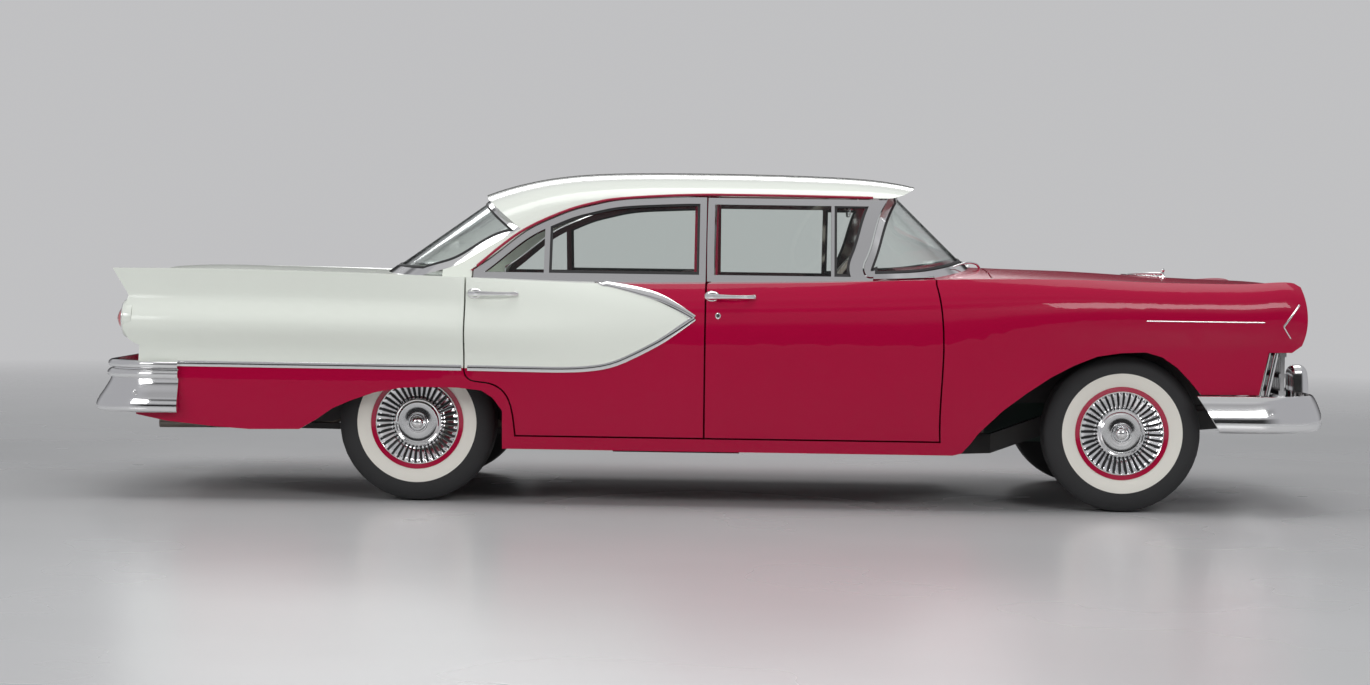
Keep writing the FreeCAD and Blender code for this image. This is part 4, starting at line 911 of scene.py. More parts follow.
@dataclass
class Gaskets:
    """Black rubber round each glass, just inside its bright frame."""

    width: float = 0.011
    rise: float = 0.005
    apart: float = 0.004
    glasses: tuple[tuple[str, str], ...] = (("windshield", "root"), ("rear_window", "root"))
    middle: Vector = Vector((0.0, 0.0, 1.0))
    lean: float = 0.35
    flat_facing: float = 0.8
    bent_facing: float = 0.35
    sharpest: float = 0.5

    def rim(self, node: str) -> tuple[list[Vector], list[Vector]]:
        """The edge of a glass's outer face, in order, with the glass on the left of each step.

        Args:
            node: the glass's node.

        Returns:
            The points and their normals.
        """
        mesh = bmesh.new()
        mesh.from_mesh(bpy.data.objects[node].data)
        bmesh.ops.remove_doubles(mesh, verts=mesh.verts, dist=10 * MERGE)
        flat = node.startswith("door")
        least = self.flat_facing if flat else self.bent_facing
        inner = []
        for face in mesh.faces:
            place = face.calc_center_median()
            away = Vector((0, place.y, abs(place.y) * self.lean)) if flat else place - self.middle
            if face.normal.dot(away.normalized()) < least:
                inner.append(face)
        bmesh.ops.delete(mesh, geom=inner, context="FACES")
        mesh.normal_update()
        loops = [edge.link_loops[0] for edge in mesh.edges if edge.is_boundary]
        ahead = {loop.vert: loop.link_loop_next.vert for loop in loops}
        rims = []
        while ahead:
            first, vert = ahead.popitem()
            rims.append([first])
            while vert in ahead:
                rims[-1].append(vert)
                vert = ahead.pop(vert)
        longest = max(rims, key=len)
        kept = [longest[0]]
        for vert in longest[1:]:
            if min((vert.co - kept[-1].co).length, (vert.co - kept[0].co).length) > self.apart:
                kept.append(vert)
        points = [vert.co.copy() for vert in kept]
        normals = [vert.normal.copy() for vert in kept]
        mesh.free()
        return points, normals

    def ring(self, node: str) -> Mesh:
        """The rubber round one glass node.

        Args:
            node: the glass's node.

        Returns:
            The mesh.
        """
        points, normals = self.rim(node)
        mesh = bmesh.new()
        rows = []
        for i, (here, normal) in enumerate(zip(points, normals)):
            before = normal.cross(here - points[i - 1]).normalized()
            after = normal.cross(points[(i + 1) % len(points)] - here).normalized()
            inward = (before + after).normalized()
            inward *= self.width / max(inward.dot(before), self.sharpest)
            up = normal * self.rise
            corners = (here, here + up, here + inward + up, here + inward)
            rows.append([mesh.verts.new(corner) for corner in corners])
        for i, row in enumerate(rows):
            last = rows[i - 1]
            for j in range(4):
                mesh.faces.new((last[j], row[j], row[(j + 1) % 4], last[(j + 1) % 4]))
        bmesh.ops.recalc_face_normals(mesh, faces=mesh.faces)
        return mesh

    def build(self) -> None:
        """Makes the rubber round all six glasses."""
        for node, body in (*self.glasses, *((door + "_glass", door) for _, _, door in doors())):
            piece("gasket_" + node, self.ring(node), RUBBER_AND_SHADE, body, "rubber")


@dataclass
class QuarterLine:
    """The bright line along a rear quarter, crowned over its CAD strip."""

    front: float = REAR_SEAM - 0.013
    back: float = -2.242
    z: float = 0.579
    width: float = 0.026
    rise: float = 0.006
    steps: int = 40

    def build(self) -> None:
        """Makes both sides' lines in place of the CAD strips."""
        skin = Skin("rear_quarters")
        step = (self.back - self.front) / self.steps
        places = [(self.front + step * i, self.z) for i in range(self.steps + 1)]
        for side in Side:
            mesh = skin.strip(places, side, crown(self.width, self.rise))
            made = piece(f"quarter_line_{side.word}", mesh)
            if side is Side.LEFT:
                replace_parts(made, "body_mouldings")


@dataclass
class Bumpers:
    """Pressed bright bars over the plain CAD ones, with guards, bolts and brackets."""

    # Sections, as places outward and heights
    face: Line = ((0.0, 0.35), (0.0207, 0.3508), (0.0368, 0.3609), (0.0451, 0.381), (0.046, 0.4012),
                  (0.0414, 0.4275), (0.0285, 0.4632), (0.0166, 0.488), (0.0055, 0.5027), (0.0, 0.505))
    hollow: Line = ((0.0, 0.4926), (0.0092, 0.474), (0.0193, 0.4353), (0.0239, 0.4012), (0.0184, 0.3686),
                    (0.0, 0.3655))
    blade: Line = ((0.0, 0.372), (0.023, 0.37), (0.0396, 0.3785), (0.0446, 0.3982), (0.0385, 0.4265),
                   (0.0245, 0.4592), (0.013, 0.4897), (0.0092, 0.5028))
    rib_low: Line = ((0.0074, 0.5137), (0.0202, 0.5159), (0.0285, 0.5268), (0.0294, 0.5377),
                     (0.0212, 0.5486), (0.0074, 0.5508))
    rib_high: Line = ((0.0074, 0.5551), (0.0248, 0.5573), (0.034, 0.566), (0.035, 0.5791),
                      (0.0258, 0.5878), (0.0, 0.59))
    # Steps along each side, round each corner and over each half of the face
    runs: tuple[int, int, int] = (8, 14, 12)
    # Each bar's ends, sides and face, and its corners' radius
    front_bar: tuple[float, ...] = (2.113, 0.921, 2.591, 0.29)
    rear_bar: tuple[float, ...] = (-2.235, 0.924, -2.594, 0.24)
    front_cut: float = 0.632
    rear_low: float = 0.372
    rib_lean: float = 0.24
    lean_reach: float = 0.3
    guard: Vector = Vector((0.1, 0.082, 0.245))
    guard_place: Triple = (2.571, 0.45, 0.5025)
    guard_radius: float = 0.04
    guard_narrows: float = 0.2
    guard_leans: float = 0.3
    bolt: Line = ((0, 0.0055), (0.005, 0.0048), (0.0085, 0.0022), (0.0095, -0.004), (0, -0.004))
    bracket_radius: float = 0.004
    # A bracket's size and place, and the bolts' places and directions
    front_fit: Triples = ((0.17, 0.062, 0.07), (2.52, 0.41, 0.405), (2.372, 0.953, 0.432),
                          (0.25, 1, 0.1), (2.628, 0.26, 0.432), (1, 0, 0.2))
    rear_fit: Triples = ((0.226, 0.062, 0.024), (-2.484, 0.5, 0.388), (-2.42, 0.95, 0.458),
                         (-0.45, 1, 0.3), (-2.595, 0.5, 0.45), (-1, 0, 0.4))

    def bar(self, end: float, side: float, tip: float, radius: float, section: Line, cut: float) -> Mesh:
        """A bar with a closed section, from one side's end round both corners to the other's.

        Args:
            end: where its ends are along the car, at the middle of the cut.
            side: how far out its sides are.
            tip: where its face is along the car.
            radius: its corners' radius.
            section: pairs of place outward and height.
            cut: how far its ends lean along the car for each metre of height.

        Returns:
            The mesh.
        """
        ahead = math.copysign(1, tip - end)
        corner, inner = tip - ahead * radius, side - radius
        along, bend, across = self.runs
        half, count = sum(self.runs), len(section)
        middle = sum(z for _, z in section) / count

        def place(u: float, v: float) -> Vector:
            """One point of the bar."""
            i = round(u * 2 * half)
            j = min(i, 2 * half - i)
            out, z = section[round(v * count) % count]
            if j < along:
                start = end + (middle - z) * cut
                x, y = start + (corner - start) * (j / along), side + out
            elif j < along + bend:
                turn = math.pi / 2 * ((j - along) / bend)
                arm = radius + out
                x, y = corner + ahead * arm * math.sin(turn), inner + arm * math.cos(turn)
            else:
                x, y = tip + ahead * out, inner * (1 - (j - along - bend) / across)
            return Vector((x, y if i <= half else -y, z))

        return closed(mapped_grid(2 * half, count, place))

    def upright(self, side: Side) -> Mesh:
        """One guard of the front bumper, narrower and leaning back towards its top."""
        mesh = rounded_block(self.guard, self.guard_radius, cuts=(16, 16, 28))
        for vert in mesh.verts:
            share = vert.co.z / self.guard.z + 0.5
            vert.co.y *= 1.0 - self.guard_narrows * share**3
            if vert.co.x > 0:
                vert.co.x *= 1.0 - self.guard_leans * share**4
        return moved(mesh, side.at(*self.guard_place))

    def fittings(self, side: Side, fit: Triples) -> list[Mesh]:
        """One side's bracket to the frame and its round bolt heads."""
        size, centre, *bolts = fit
        parts = [moved(rounded_block(Vector(size), self.bracket_radius, cuts=(4, 4, 4)), side.at(*centre))]
        for place, way in zip(bolts[::2], bolts[1::2]):
            parts.append(lathe(self.bolt, side.at(*place), side.at(*way).normalized(), steps=20))
        return parts

    def build(self) -> None:
        """Makes both bumpers in place of the CAD ones."""
        section = smooth_line(self.face, steps=4) + smooth_line(self.hollow, steps=3)
        parts = [self.bar(*self.front_bar, section, self.front_cut)]
        for side in Side:
            parts += [self.upright(side), *self.fittings(side, self.front_fit)]
        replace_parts(piece("front_bumper_bar", joined(parts)), "front_bumper")
        section = []
        for line in (self.blade, self.rib_low, self.rib_high):
            section += smooth_line(line, steps=4)
        parts = [self.bar(*self.rear_bar, section, 0.0)]
        for vert in parts[0].verts:
            share = min(1.0, (self.rear_bar[0] - vert.co.x) / self.lean_reach)
            vert.co.x += self.rib_lean * (vert.co.z - self.rear_low) * share
        for side in Side:
            parts += self.fittings(side, self.rear_fit)
        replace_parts(piece("rear_bumper_bar", joined(parts)), "rear_bumper")


@dataclass
class GrilleEnds:
    """Two slanted bright strips at each end of the grille, between the lamp pod and the bumper."""

    foot: Pair = (2.33, 0.508)
    head: Pair = (2.366, 0.688)
    y: float = 0.893
    # Each strip's place ahead and its width
    strips: Line = ((0.0, 0.012), (0.03, 0.017))
    rise: float = 0.007
    sink: float = 0.012
    steps: int = 8

    def build(self) -> None:
        """Makes both sides' strips."""
        for side in Side:
            parts = []
            for ahead, width in self.strips:
                foot = side.at(self.foot[0] + ahead, self.y, self.foot[1])
                head = side.at(self.head[0] + ahead, self.y, self.head[1])
                line = [foot.lerp(head, i / self.steps) for i in range(self.steps + 1)]
                parts.append(swept(line, [side.out] * len(line), crown(width, self.rise, self.sink)))
            piece(f"grille_end_{side.word}", joined(parts))


@dataclass
class DripRails:
    """The rain gutters over the doors, in body colour."""

    line: Line = ((0.7, 1.322), (0.4, 1.3255), (0.1, 1.3265), (-0.05, 1.325), (-0.239, 1.3165),
                  (-0.41, 1.302), (-0.501, 1.2835), (-0.582, 1.2615), (-0.667, 1.228), (-0.755, 1.1865),
                  (-0.83, 1.1405), (-0.906, 1.08), (-0.965, 1.028), (-1.01, 0.989))
    width: float = 0.011
    rise: float = 0.009
    tilt: float = 0.15

    def build(self) -> None:
        """Makes both gutters."""
        skin = Skin("roof")
        for side in Side:
            points = [skin.beside(x, z, side)[0] for x, z in smooth_line(self.line, steps=5)]
            out = side.at(0, 1, self.tilt).normalized()
            mesh = swept(points, [out] * len(points), crown(self.width, self.rise))
            piece(f"drip_rail_{side.word}", mesh, DASH, "root", "body_red")


@dataclass
class HoodSpear:
    """The small ornament on the hood: a thin spear with an upright at its front."""

    back: float = 1.865
    front: float = 2.045
    thickness: float = 0.008
    # The spear's share of the length, its height and its share of the thickness
    spear: Triples = ((0, 0.003, 0.3), (0.3, 0.01, 0.7), (0.7, 0.014, 1.0), (1, 0.016, 0.8))
    stem_radius: float = 0.006
    stem: Line = ((0.002, 1.4), (0.018, 0.8), (0.032, 0.9))
    base: Vector = Vector((0.2, 0.03, 0.008))
    base_radius: float = 0.0039
    base_lift: float = 0.002
    base_back: float = 0.25
    ball: Line = ((0, 0.009), (0.006, 0.007), (0.009, 0.0), (0.006, -0.007), (0, -0.009))

    def build(self) -> None:
        """Makes the ornament."""
        skin = Skin("hood")
        length = self.front - self.back
        spots = [skin.above(self.back + length * share, 0.0)[0] for share, _, _ in self.spear]
        line = [spot + UP * lift for spot, (_, lift, _) in zip(spots, self.spear)]
        blade = wire(line, self.thickness, [part for _, _, part in self.spear])
        rising = [spots[-1] + UP * lift for lift, _ in self.stem]
        stem = wire(rising, self.stem_radius, [part for _, part in self.stem])
        base = rounded_block(self.base, self.base_radius, cuts=(12, 4, 2))
        for vert in base.verts:
            share = vert.co.x / self.base.x + 0.5
            vert.co.y *= self.base_back + (1 - self.base_back) * share
            vert.co.x += (self.back + self.front) / 2
            vert.co.z += skin.above(vert.co.x, 0.0)[0].z + self.base_lift
        top = lathe(self.ball, rising[-1], UP, steps=16)
        piece("hood_spear", joined([blade, stem, base, top]), body="hood")


@dataclass
class FenderTrim:
    """Bright lines on a front fender: the thin side line and the brow by the lamp."""

    side_line: Line = ((1.84, 0.817), (2.00, 0.817), (2.17, 0.817), (2.335, 0.817))
    brow_top: Line = ((2.418, 0.8), (2.45, 0.845), (2.484, 0.892))
    brow_foot: Line = ((2.45, 0.752), (2.432, 0.778), (2.418, 0.8))
    thin: float = 0.006
    wide: float = 0.009
    rise: float = 0.004

    def build(self) -> None:
        """Makes both sides' trim."""
        skin = Skin("front_fenders")
        lines = ((self.side_line, self.thin), (self.brow_top, self.wide), (self.brow_foot, self.thin))
        for side in Side:
            parts = [skin.strip(smooth_line(line, steps=8), side, crown(width, self.rise))
                     for line, width in lines]
            piece(f"fender_lines_{side.word}", joined(parts))


Part = tuple[str, Line, Finish, str]


@dataclass
class Lamps:
    """A pair of round lamps in place of one CAD node."""

    node: str
    place: Triple
    way: Vector
    steps: int

    def parts(self) -> list[Part]:
        """Each piece's name, section, finish and slot. The first one replaces the CAD node."""
        return []

    def build(self) -> None:
        """Makes both lamps."""
        for side in Side:
            made = []
            for name, section, finish, slot in self.parts():
                mesh = lathe(section, side.at(*self.place), self.way, self.steps)
                made.append(piece(f"{name}_{side.word}", mesh, finish, "root", slot))
            if side is Side.LEFT:
                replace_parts(made[0], self.node)


@dataclass
class Headlamps(Lamps):
    """Sealed lamps: a bright rim and a domed lens."""

    node: str = "headlamps"
    place: Triple = (2.508, 0.782, 0.832)
    way: Vector = FORWARD
    steps: int = 64
    rim: Line = ((0.089, -0.01), (0.089, 0.002), (0.093, 0.008), (0.1, 0.009), (0.104, 0.003),
                 (0.104, -0.058), (0.089, -0.058), (0.089, -0.01))
    lens: float = 0.089
    foot: float = 0.002
    dome: float = 0.026
    rings: int = 10
    back: Line = ((0.089, -0.02), (0, -0.02))

    def parts(self) -> list[Part]:
        """Each piece's name, section, finish and slot."""
        turns = [math.pi / 2 * i / self.rings for i in range(self.rings + 1)]
        dome = [(self.lens * math.sin(turn), self.foot + self.dome * math.cos(turn)) for turn in turns]
        return [("lamp_rim", self.rim, CHROME, "chrome"),
                ("lamp_lens", [*dome, *self.back], CLEAR_LENS, "lamp_glass")]


@dataclass
class TailLamps(Lamps):
    """Round tail lamps: a red lens in steps, a bright bezel and a ring in the quarter's white."""

    node: str = "tail_lamps"
    place: Triple = (-2.475, 0.862, 0.765)
    way: Vector = -FORWARD
    steps: int = 56
    radius: float = 0.082
    lens: float = 0.8
    dome: float = 0.034
    rings: int = 6
    bulge: float = 1.8
    step: Pair = (0.004, 0.001)
    # Sections, as shares of the radius and places outward
    back: Line = ((0.82, -0.03), (0, -0.03))
    bezel: Line = ((0.8, -0.02), (0.81, 0.005), (0.85, 0.007), (0.88, 0.003), (0.89, -0.02), (0.8, -0.02))
    ring: Line = ((0.86, -0.02), (0.88, 0.0), (0.94, 0.001), (0.985, -0.006), (1, -0.016), (1, -0.04),
                  (0.86, -0.04), (0.86, -0.02))

    def sized(self, section: Line) -> list[Pair]:
        """A section with its shares of the radius as lengths."""
        return [(self.radius * share, place) for share, place in section]

    def parts(self) -> list[Part]:
        """Each piece's name, section, finish and slot."""
        back, up = self.step
        line = [(0, self.dome)]
        for i in range(1, self.rings + 1):
            radius = self.radius * self.lens * i / self.rings
            rise = self.dome * (1 - (i / self.rings) ** self.bulge)
            line += [(radius - back, rise + up), (radius, rise - up)]
        return [("tail_lens", line + self.sized(self.back), RED_LENS, "lamp_red"),
                ("tail_bezel", self.sized(self.bezel), CHROME, "chrome"),
                ("tail_ring", self.sized(self.ring), ROOF, "body_white")]


@dataclass
class Wheels:
    """Tyres with tread, and turbine covers over the steel wheels."""

    tyre: float = 0.336
    # Sections, as radii and places outward from the wheel's middle
    wall: Line = ((0.18, 0.074), (0.19, 0.079), (0.1985, 0.0805), (0.203, 0.0815), (0.215, 0.087),
                  (0.23, 0.092), (0.2475, 0.0947), (0.2545, 0.095), (0.256, 0.0938), (0.27, 0.094),
                  (0.29, 0.0918), (0.305, 0.0875), (0.318, 0.081), (0.326, 0.0752), (0.3305, 0.0695))
    cap: Line = ((0.104, 0.04), (0.104, 0.05), (0.101, 0.057), (0.096, 0.06), (0.091, 0.058), (0.087, 0.061),
                 (0.083, 0.0635), (0.079, 0.0625), (0.045, 0.0665), (0.042, 0.07), (0.0395, 0.0705),
                 (0.037, 0.068), (0.034, 0.066), (0.03, 0.074), (0.024, 0.083), (0.014, 0.0905),
                 (0.006, 0.093), (0, 0.0935), (0, 0.04))
    bead: Line = ((0.172, 0.078), (0.1735, 0.0835), (0.176, 0.085), (0.178, 0.083), (0.1785, 0.078),
                  (0.172, 0.078))
    ribs: tuple[float, ...] = (0.048, 0.024, 0.0, -0.024, -0.048)
    groove: Line = ((0.004, 0), (0.003, 0.007), (-0.003, 0.007), (-0.004, 0))
    tread_half: float = 0.0695
    tread_drop: float = 0.0045
    # Where the grooves are: beyond this radius and within this place across
    tread: Pair = (0.322, 0.056)
    zigzags: int = 36
    zigzag: float = 0.0035
    vanes: int = 40
    vane_radii: Pair = (0.103, 0.1735)
    vane_places: Pair = (0.0425, 0.079)
    vane_share: float = 0.58
    vane_foot: float = 0.003
    vane_lift: float = 0.01
    vane_ends: Pair = (6, 8)
    slot_lift: float = 0.0015

    def make_tyre(self, name: str, centre: Vector, side: Side, finish: Finish) -> None:
        """One tyre, with its ribs parted by zigzag grooves."""
        middle = []
        for rib in self.ribs:
            for across, deep in self.groove:
                place = rib + across
                middle.append((self.tyre - self.tread_drop * (place / self.tread_half) ** 2 - deep, place))
        line = [*self.wall, *middle, *((radius, -far) for radius, far in self.wall[::-1]), self.wall[0]]
        mesh = lathe(line, centre, side.out, steps=144)
        for vert in mesh.verts:
            arm = vert.co - centre
            if math.hypot(arm.x, arm.z) > self.tread[0] and abs(arm.y) < self.tread[1]:
                turn = math.atan2(arm.z, arm.x) / TURN * self.zigzags
                vert.co.y += self.zigzag * (abs(turn % 1 - 0.5) * 4 - 1)
        made = piece("tyre_tread_" + name, mesh, finish, "wheel_" + name, "rubber", crease=28.0)
        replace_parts(made, "tyre_" + name)

    def cover(self, centre: Vector, side: Side) -> Mesh:
        """The ring of vanes on the cover's dish."""
        (inner, outer), (low, high) = self.vane_radii, self.vane_places

        def place(u: float, v: float) -> Vector:
            """One point of the vanes."""
            part = u * self.vanes % 1
            radius = inner + (outer - inner) * v
            lift = self.slot_lift
            if part < self.vane_share:
                ease = min(1.0, self.vane_ends[0] * v, self.vane_ends[1] * (1 - v))
                lift = self.vane_foot + self.vane_lift * ease * (1 - part)
            turn, rise = u * TURN, low + (high - low) * v + lift
            return centre + side.at(radius * math.cos(turn), rise, radius * math.sin(turn))

        mesh = mapped_grid(self.vanes * 6, 8, place)
        bmesh.ops.remove_doubles(mesh, verts=mesh.verts, dist=MERGE)
        bmesh.ops.recalc_face_normals(mesh, faces=mesh.faces)
        if sum(face.normal.y for face in mesh.faces) * side.value < 0:
            bmesh.ops.reverse_faces(mesh, faces=mesh.faces)
        return mesh

    def build(self) -> None:
        """Makes the four tyres and covers, and dresses the wheels."""
        for row, x, y in ((Row.FRONT, FRONT_AXLE, FRONT_WHEEL_Y), (Row.REAR, REAR_AXLE, REAR_WHEEL_Y)):
            word, spot = row.value, (x, y)
            rubber = TyreRubber(f"tyre_rubber_{word}", (0.014, 0.014, 0.015, 1), (0.024, 0.024, 0.025, 1),
                                0.62, 0.12, grain=700.0, grain_depth=0.0002, centre=spot)
            paint = WheelPaint(f"wheel_paint_{word}", CRIMSON, CRIMSON, 0.12, 0.06, patches=12.0,
                               grain_depth=0.00003, centre=spot)
            bright = Turbine(f"turbine_{word}", CHROME.colour, CHROME.second, 0.1, 0.06, patches=15.0,
                             grain_depth=0.00003, centre=spot, vanes=self.vanes)
            for side in Side:
                name = f"{word}_{side.word}"
                body = "wheel_" + name
                centre = side.at(x, y, AXLE_Z)
                self.make_tyre(name, centre, side, rubber)
                dress(body, paint)
                piece("vanes_" + name, self.cover(centre, side), bright, body, "wheel_steel", crease=50.0)
                for start, line, steps in (("cap_", self.cap, 72), ("cover_edge_", self.bead, 96)):
                    mesh = lathe(line, centre, side.out, steps)
                    piece(start + name, mesh, CHROME, body, "wheel_steel")


Pads = tuple[tuple[Triple, float, Triple], ...]


@dataclass
class Benches:
    """The two bench seats, with sewn channels in their cushions and backs."""

    # The cushion's and the back's size, crown and place
    front: Pads = (((0.545, 1.3, 0.13), 0.016, (0.176, 0, 0.515)),
                   ((0.48, 1.3, 0.11), 0.014, (-0.15, 0, 0.755)))
    rear: Pads = (((0.48, 1.14, 0.13), 0.014, (-0.69, 0, 0.52)),
                  ((0.43, 1.14, 0.1), 0.012, (-0.975, 0, 0.755)))
    leans: Pair = (-0.06, -math.radians(77))
    radius: float = 0.045
    pitch: float = 0.052
    groove: float = 0.007
    valley: float = 0.55
    # Where the channels end along and across a pad, as shares, and how fast
    field: Line = ((0.8, 8), (0.93, 20))
    upper: float = 0.2
    pinch: float = 0.006
    fill: float = 0.7
    base: Vector = Vector((0.5, 1.2, 0.14))
    base_radius: float = 0.02
    base_place: Vector = Vector((0.13, 0, 0.4))

    def pad(self, size: Triple, crowned: float) -> Mesh:
        """A stuffed slab about the origin, with channels along its length on the upper face."""
        mesh = rounded_block(Vector(size), self.radius, cuts=(18, 84, 6))
        for vert in mesh.verts:
            x, y, z = (vert.co[i] / (size[i] / 2) for i in range(3))
            if z > self.upper:
                deep = self.groove * (1 - abs(math.sin(math.pi * vert.co.y / self.pitch)) ** self.valley)
                for far, (end, fall) in zip((x, y), self.field):
                    deep *= min(1.0, max(0.0, (end - abs(far)) * fall))
                vert.co.z += crowned * (1 - x * x) * (1 - y**4) - deep
            vert.co.y *= 1 - self.pinch * (1 - z * z)
        bmesh.ops.recalc_face_normals(mesh, faces=mesh.faces)
        return mesh

    def bench(self, row: Row, pads: Pads) -> bpy.types.Object:
        """One bench's cushion and back, each leaned back and put in place.

        Args:
            row: the row of seats.
            pads: each pad's size, crown and place.

        Returns:
            The cushion.
        """
        made = []
        for word, lean, (size, crowned, place) in zip(("cushion", "backrest"), self.leans, pads):
            mesh = self.pad(size, crowned)
            move = Matrix.Translation(place) @ Matrix.Rotation(lean, 4, "Y")
            bmesh.ops.transform(mesh, matrix=move, verts=mesh.verts)
            made.append(piece(f"{row.value}_{word}", mesh, CLOTH, "root", "upholstery", crease=60.0))
        return made[0]

    def build(self) -> None:
        """Makes both benches in place of their CAD solids."""
        self.bench(Row.FRONT, self.front)
        skirt = moved(rounded_block(self.base, self.base_radius, cuts=(4, 4, 2)), self.base_place)
        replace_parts(piece("front_seat_base", skirt, LEATHER, "root", "upholstery"), "front_seat")
        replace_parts(self.bench(Row.REAR, self.rear), "rear_seat")


@dataclass
class Cabin:
    """What the cabin is lined with: roof lining, door cards, dials and mirror."""

    sheet: float = 0.002
    lining_x: Pair = (-0.92, 0.72)
    lining_half: float = 0.5
    lining_below: float = 1.0
    lining_top: float = 1.4
    lining_gap: float = 0.006
    bows: int = 6
    card_z: Pair = (0.34, 0.925)
    card_x: tuple[tuple[Row, float, float], ...] = ((Row.FRONT, 0.03, 0.86), (Row.REAR, -0.74, -0.06))
    card_edge: float = 0.006
    edge_fall: float = 12
    tufts: int = 12
    tuft: float = 0.004
    tufted: Pair = (0.12, 0.6)
    inside: float = 0.3
    rest: Vector = Vector((0.3, 0.06, 0.055))
    rest_radius: float = 0.024
    rest_place: Triple = (-0.05, 0.04, 0.66)
    rest_fill: float = 0.9
    crank_place: Triple = (0.22, 0.01, 0.62)
    # The crank's places along, inward and up from its hub
    crank: Triples = ((0, 0, 0), (0, 0.02, 0), (0.05, 0.026, -0.02), (0.1, 0.026, -0.04))
    knob: Line = ((0, 0.03), (0.009, 0.028), (0.011, 0.018), (0.009, 0.004), (0, 0))
    hub: Line = ((0, 0.03), (0.018, 0.026), (0.022, 0), (0, 0))
    hub_sink: float = 0.004
    thin: float = 0.006
    # Each dial's place across and radius
    dials: Line = ((0.37, 0.062), (0.235, 0.036), (0.505, 0.036), (-0.02, 0.03))
    dial_z: float = 0.872
    dial_half: float = 0.004
    # The rim's section, as places beyond the dial's radius and outward
    dial_rim: Line = ((0, -0.004), (0, 0.01), (0.006, 0.014), (0.01, 0.008), (0.011, -0.004), (0, -0.004))
    marks: int = 11
    mark_start: float = -130
    mark_step: float = 26
    mark: Triple = (0.002, 0.18, 0.8)
    mark_lift: float = 0.005
    needle: Triple = (0.0014, 0.5, 0.45)
    needle_lift: float = 0.007
    strip_half: float = 0.66
    strip_z: float = 0.812
    strip: Pair = (0.022, 0.006)
    strip_steps: int = 24
    mirror_size: Vector = Vector((0.018, 0.2, 0.06))
    mirror_place: Vector = Vector((0.62, 0, 1.275))
    mirror_radius: float = 0.008
    mirror_stem: Triples = ((0.628, 0, 1.28), (0.66, 0, 1.31), (0.675, 0, 1.375))

    def lining(self) -> None:
        """The cloth under the roof, drawn over its bows."""
        skin = Skin("roof")
        low, high = self.lining_x

        def place(u: float, v: float) -> Vector:
            """One point of the cloth."""
            x, y = low + (high - low) * u, self.lining_half * (2 * v - 1)
            point, _ = skin.hit(Vector((x, y, self.lining_below)), UP)
            bow = self.lining_gap * abs(math.sin(math.pi * self.bows * u))
            return Vector((x, y, min(point.z, self.lining_top) - self.lining_gap - bow))

        mesh = thick(mapped_grid(60, 24, place), self.sheet)
        piece("roof_lining", mesh, LINING, "root", "upholstery", crease=60.0)

    def card(self, body: str, side: Side, back: float, front: float) -> None:
        """A door's inner card with its arm rest and crank.

        Args:
            body: the door's body.
            side: the car's side.
            back: where the card ends at the back.
            front: where it ends at the front.
        """
        (low, high), skin = self.card_z, Skin(body)

        def place(u: float, v: float) -> Vector:
            """One point of the card."""
            x, z = back + (front - back) * u, low + (high - low) * v
            point, _ = skin.hit(side.at(x, self.inside, z), side.out)
            edge = min(1.0, self.edge_fall * min(u, 1 - u, v, 1 - v))
            tuft = self.sheet
            if self.tufted[0] < v < self.tufted[1]:
                tuft = self.tuft * abs(math.sin(math.pi * u * self.tufts))
            depth = self.sheet + self.card_edge * edge**0.5 + tuft * edge
            return Vector((x, point.y - side.value * depth, z))

        mesh = thick(mapped_grid(60, 30, place), self.sheet)
        piece("card_" + body, mesh, LEATHER, body, "upholstery", crease=50.0)
        along, away, up = self.rest_place
        middle = (back + front) / 2 + along
        wall, _ = skin.hit(side.at(middle, self.inside, up), side.out)
        rest = rounded_block(self.rest, self.rest_radius, cuts=(12, 6, 6))
        rest = moved(rest, Vector((middle, wall.y - side.value * away, up)))
        piece("arm_rest_" + body, rest, CREAM, body, "upholstery")
        along, away, up = self.crank_place
        hub = Vector((middle + along, wall.y - side.value * away, up))
        arm = [hub + side.at(x, -y, z) for x, y, z in self.crank]
        crank = joined([wire(arm, self.thin), lathe(self.knob, arm[-1], -side.out, steps=18),
                        lathe(self.hub, hub + side.out * self.hub_sink, -side.out, steps=24)])
        piece("crank_" + body, crank, body=body)

    def dash(self) -> None:
        """A row of round dials ahead of the steering wheel, and trim on the dash."""
        skin = Skin("dashboard")
        back = -FORWARD
        rims, faces, marks = [], [], []
        for y, radius in self.dials:
            spot, _ = skin.hit(Vector((self.inside, y, self.dial_z)), FORWARD)
            rims.append(lathe([(radius + far, rise) for far, rise in self.dial_rim], spot, back, steps=48))
            half = self.dial_half
            plate = [(0, half), (radius, half), (radius, -half), (0, -half)]
            faces.append(lathe(plate, spot, back, steps=48))
            wide, long, far = self.mark
            for i in range(self.marks):
                mark = rounded_block(Vector((wide, wide, radius * long)), wide / 4, cuts=(1, 1, 1))
                turn = Matrix.Rotation(math.radians(self.mark_start + self.mark_step * i), 4, "X")
                start = Matrix.Translation((0, 0, radius * far))
                move = Matrix.Translation(spot + back * self.mark_lift) @ turn @ start
                bmesh.ops.transform(mark, matrix=move, verts=mark.verts)
                marks.append(mark)
            thin, across, up = self.needle
            foot = spot + back * self.needle_lift
            marks.append(wire([foot, foot + Vector((0, radius * across, radius * up))], thin))
        piece("dial_rims", joined(rims))
        piece("dial_faces", joined(faces), DIAL, "root", "dash_paint")
        piece("dial_marks", joined(marks), CREAM, "root", "dash_paint")
        across = [self.strip_half * (2 * i / self.strip_steps - 1) for i in range(self.strip_steps + 1)]
        line = [skin.hit(Vector((self.inside, y, self.strip_z)), FORWARD)[0] for y in across]
        piece("dash_strip", swept(line, [back] * len(line), crown(*self.strip)))

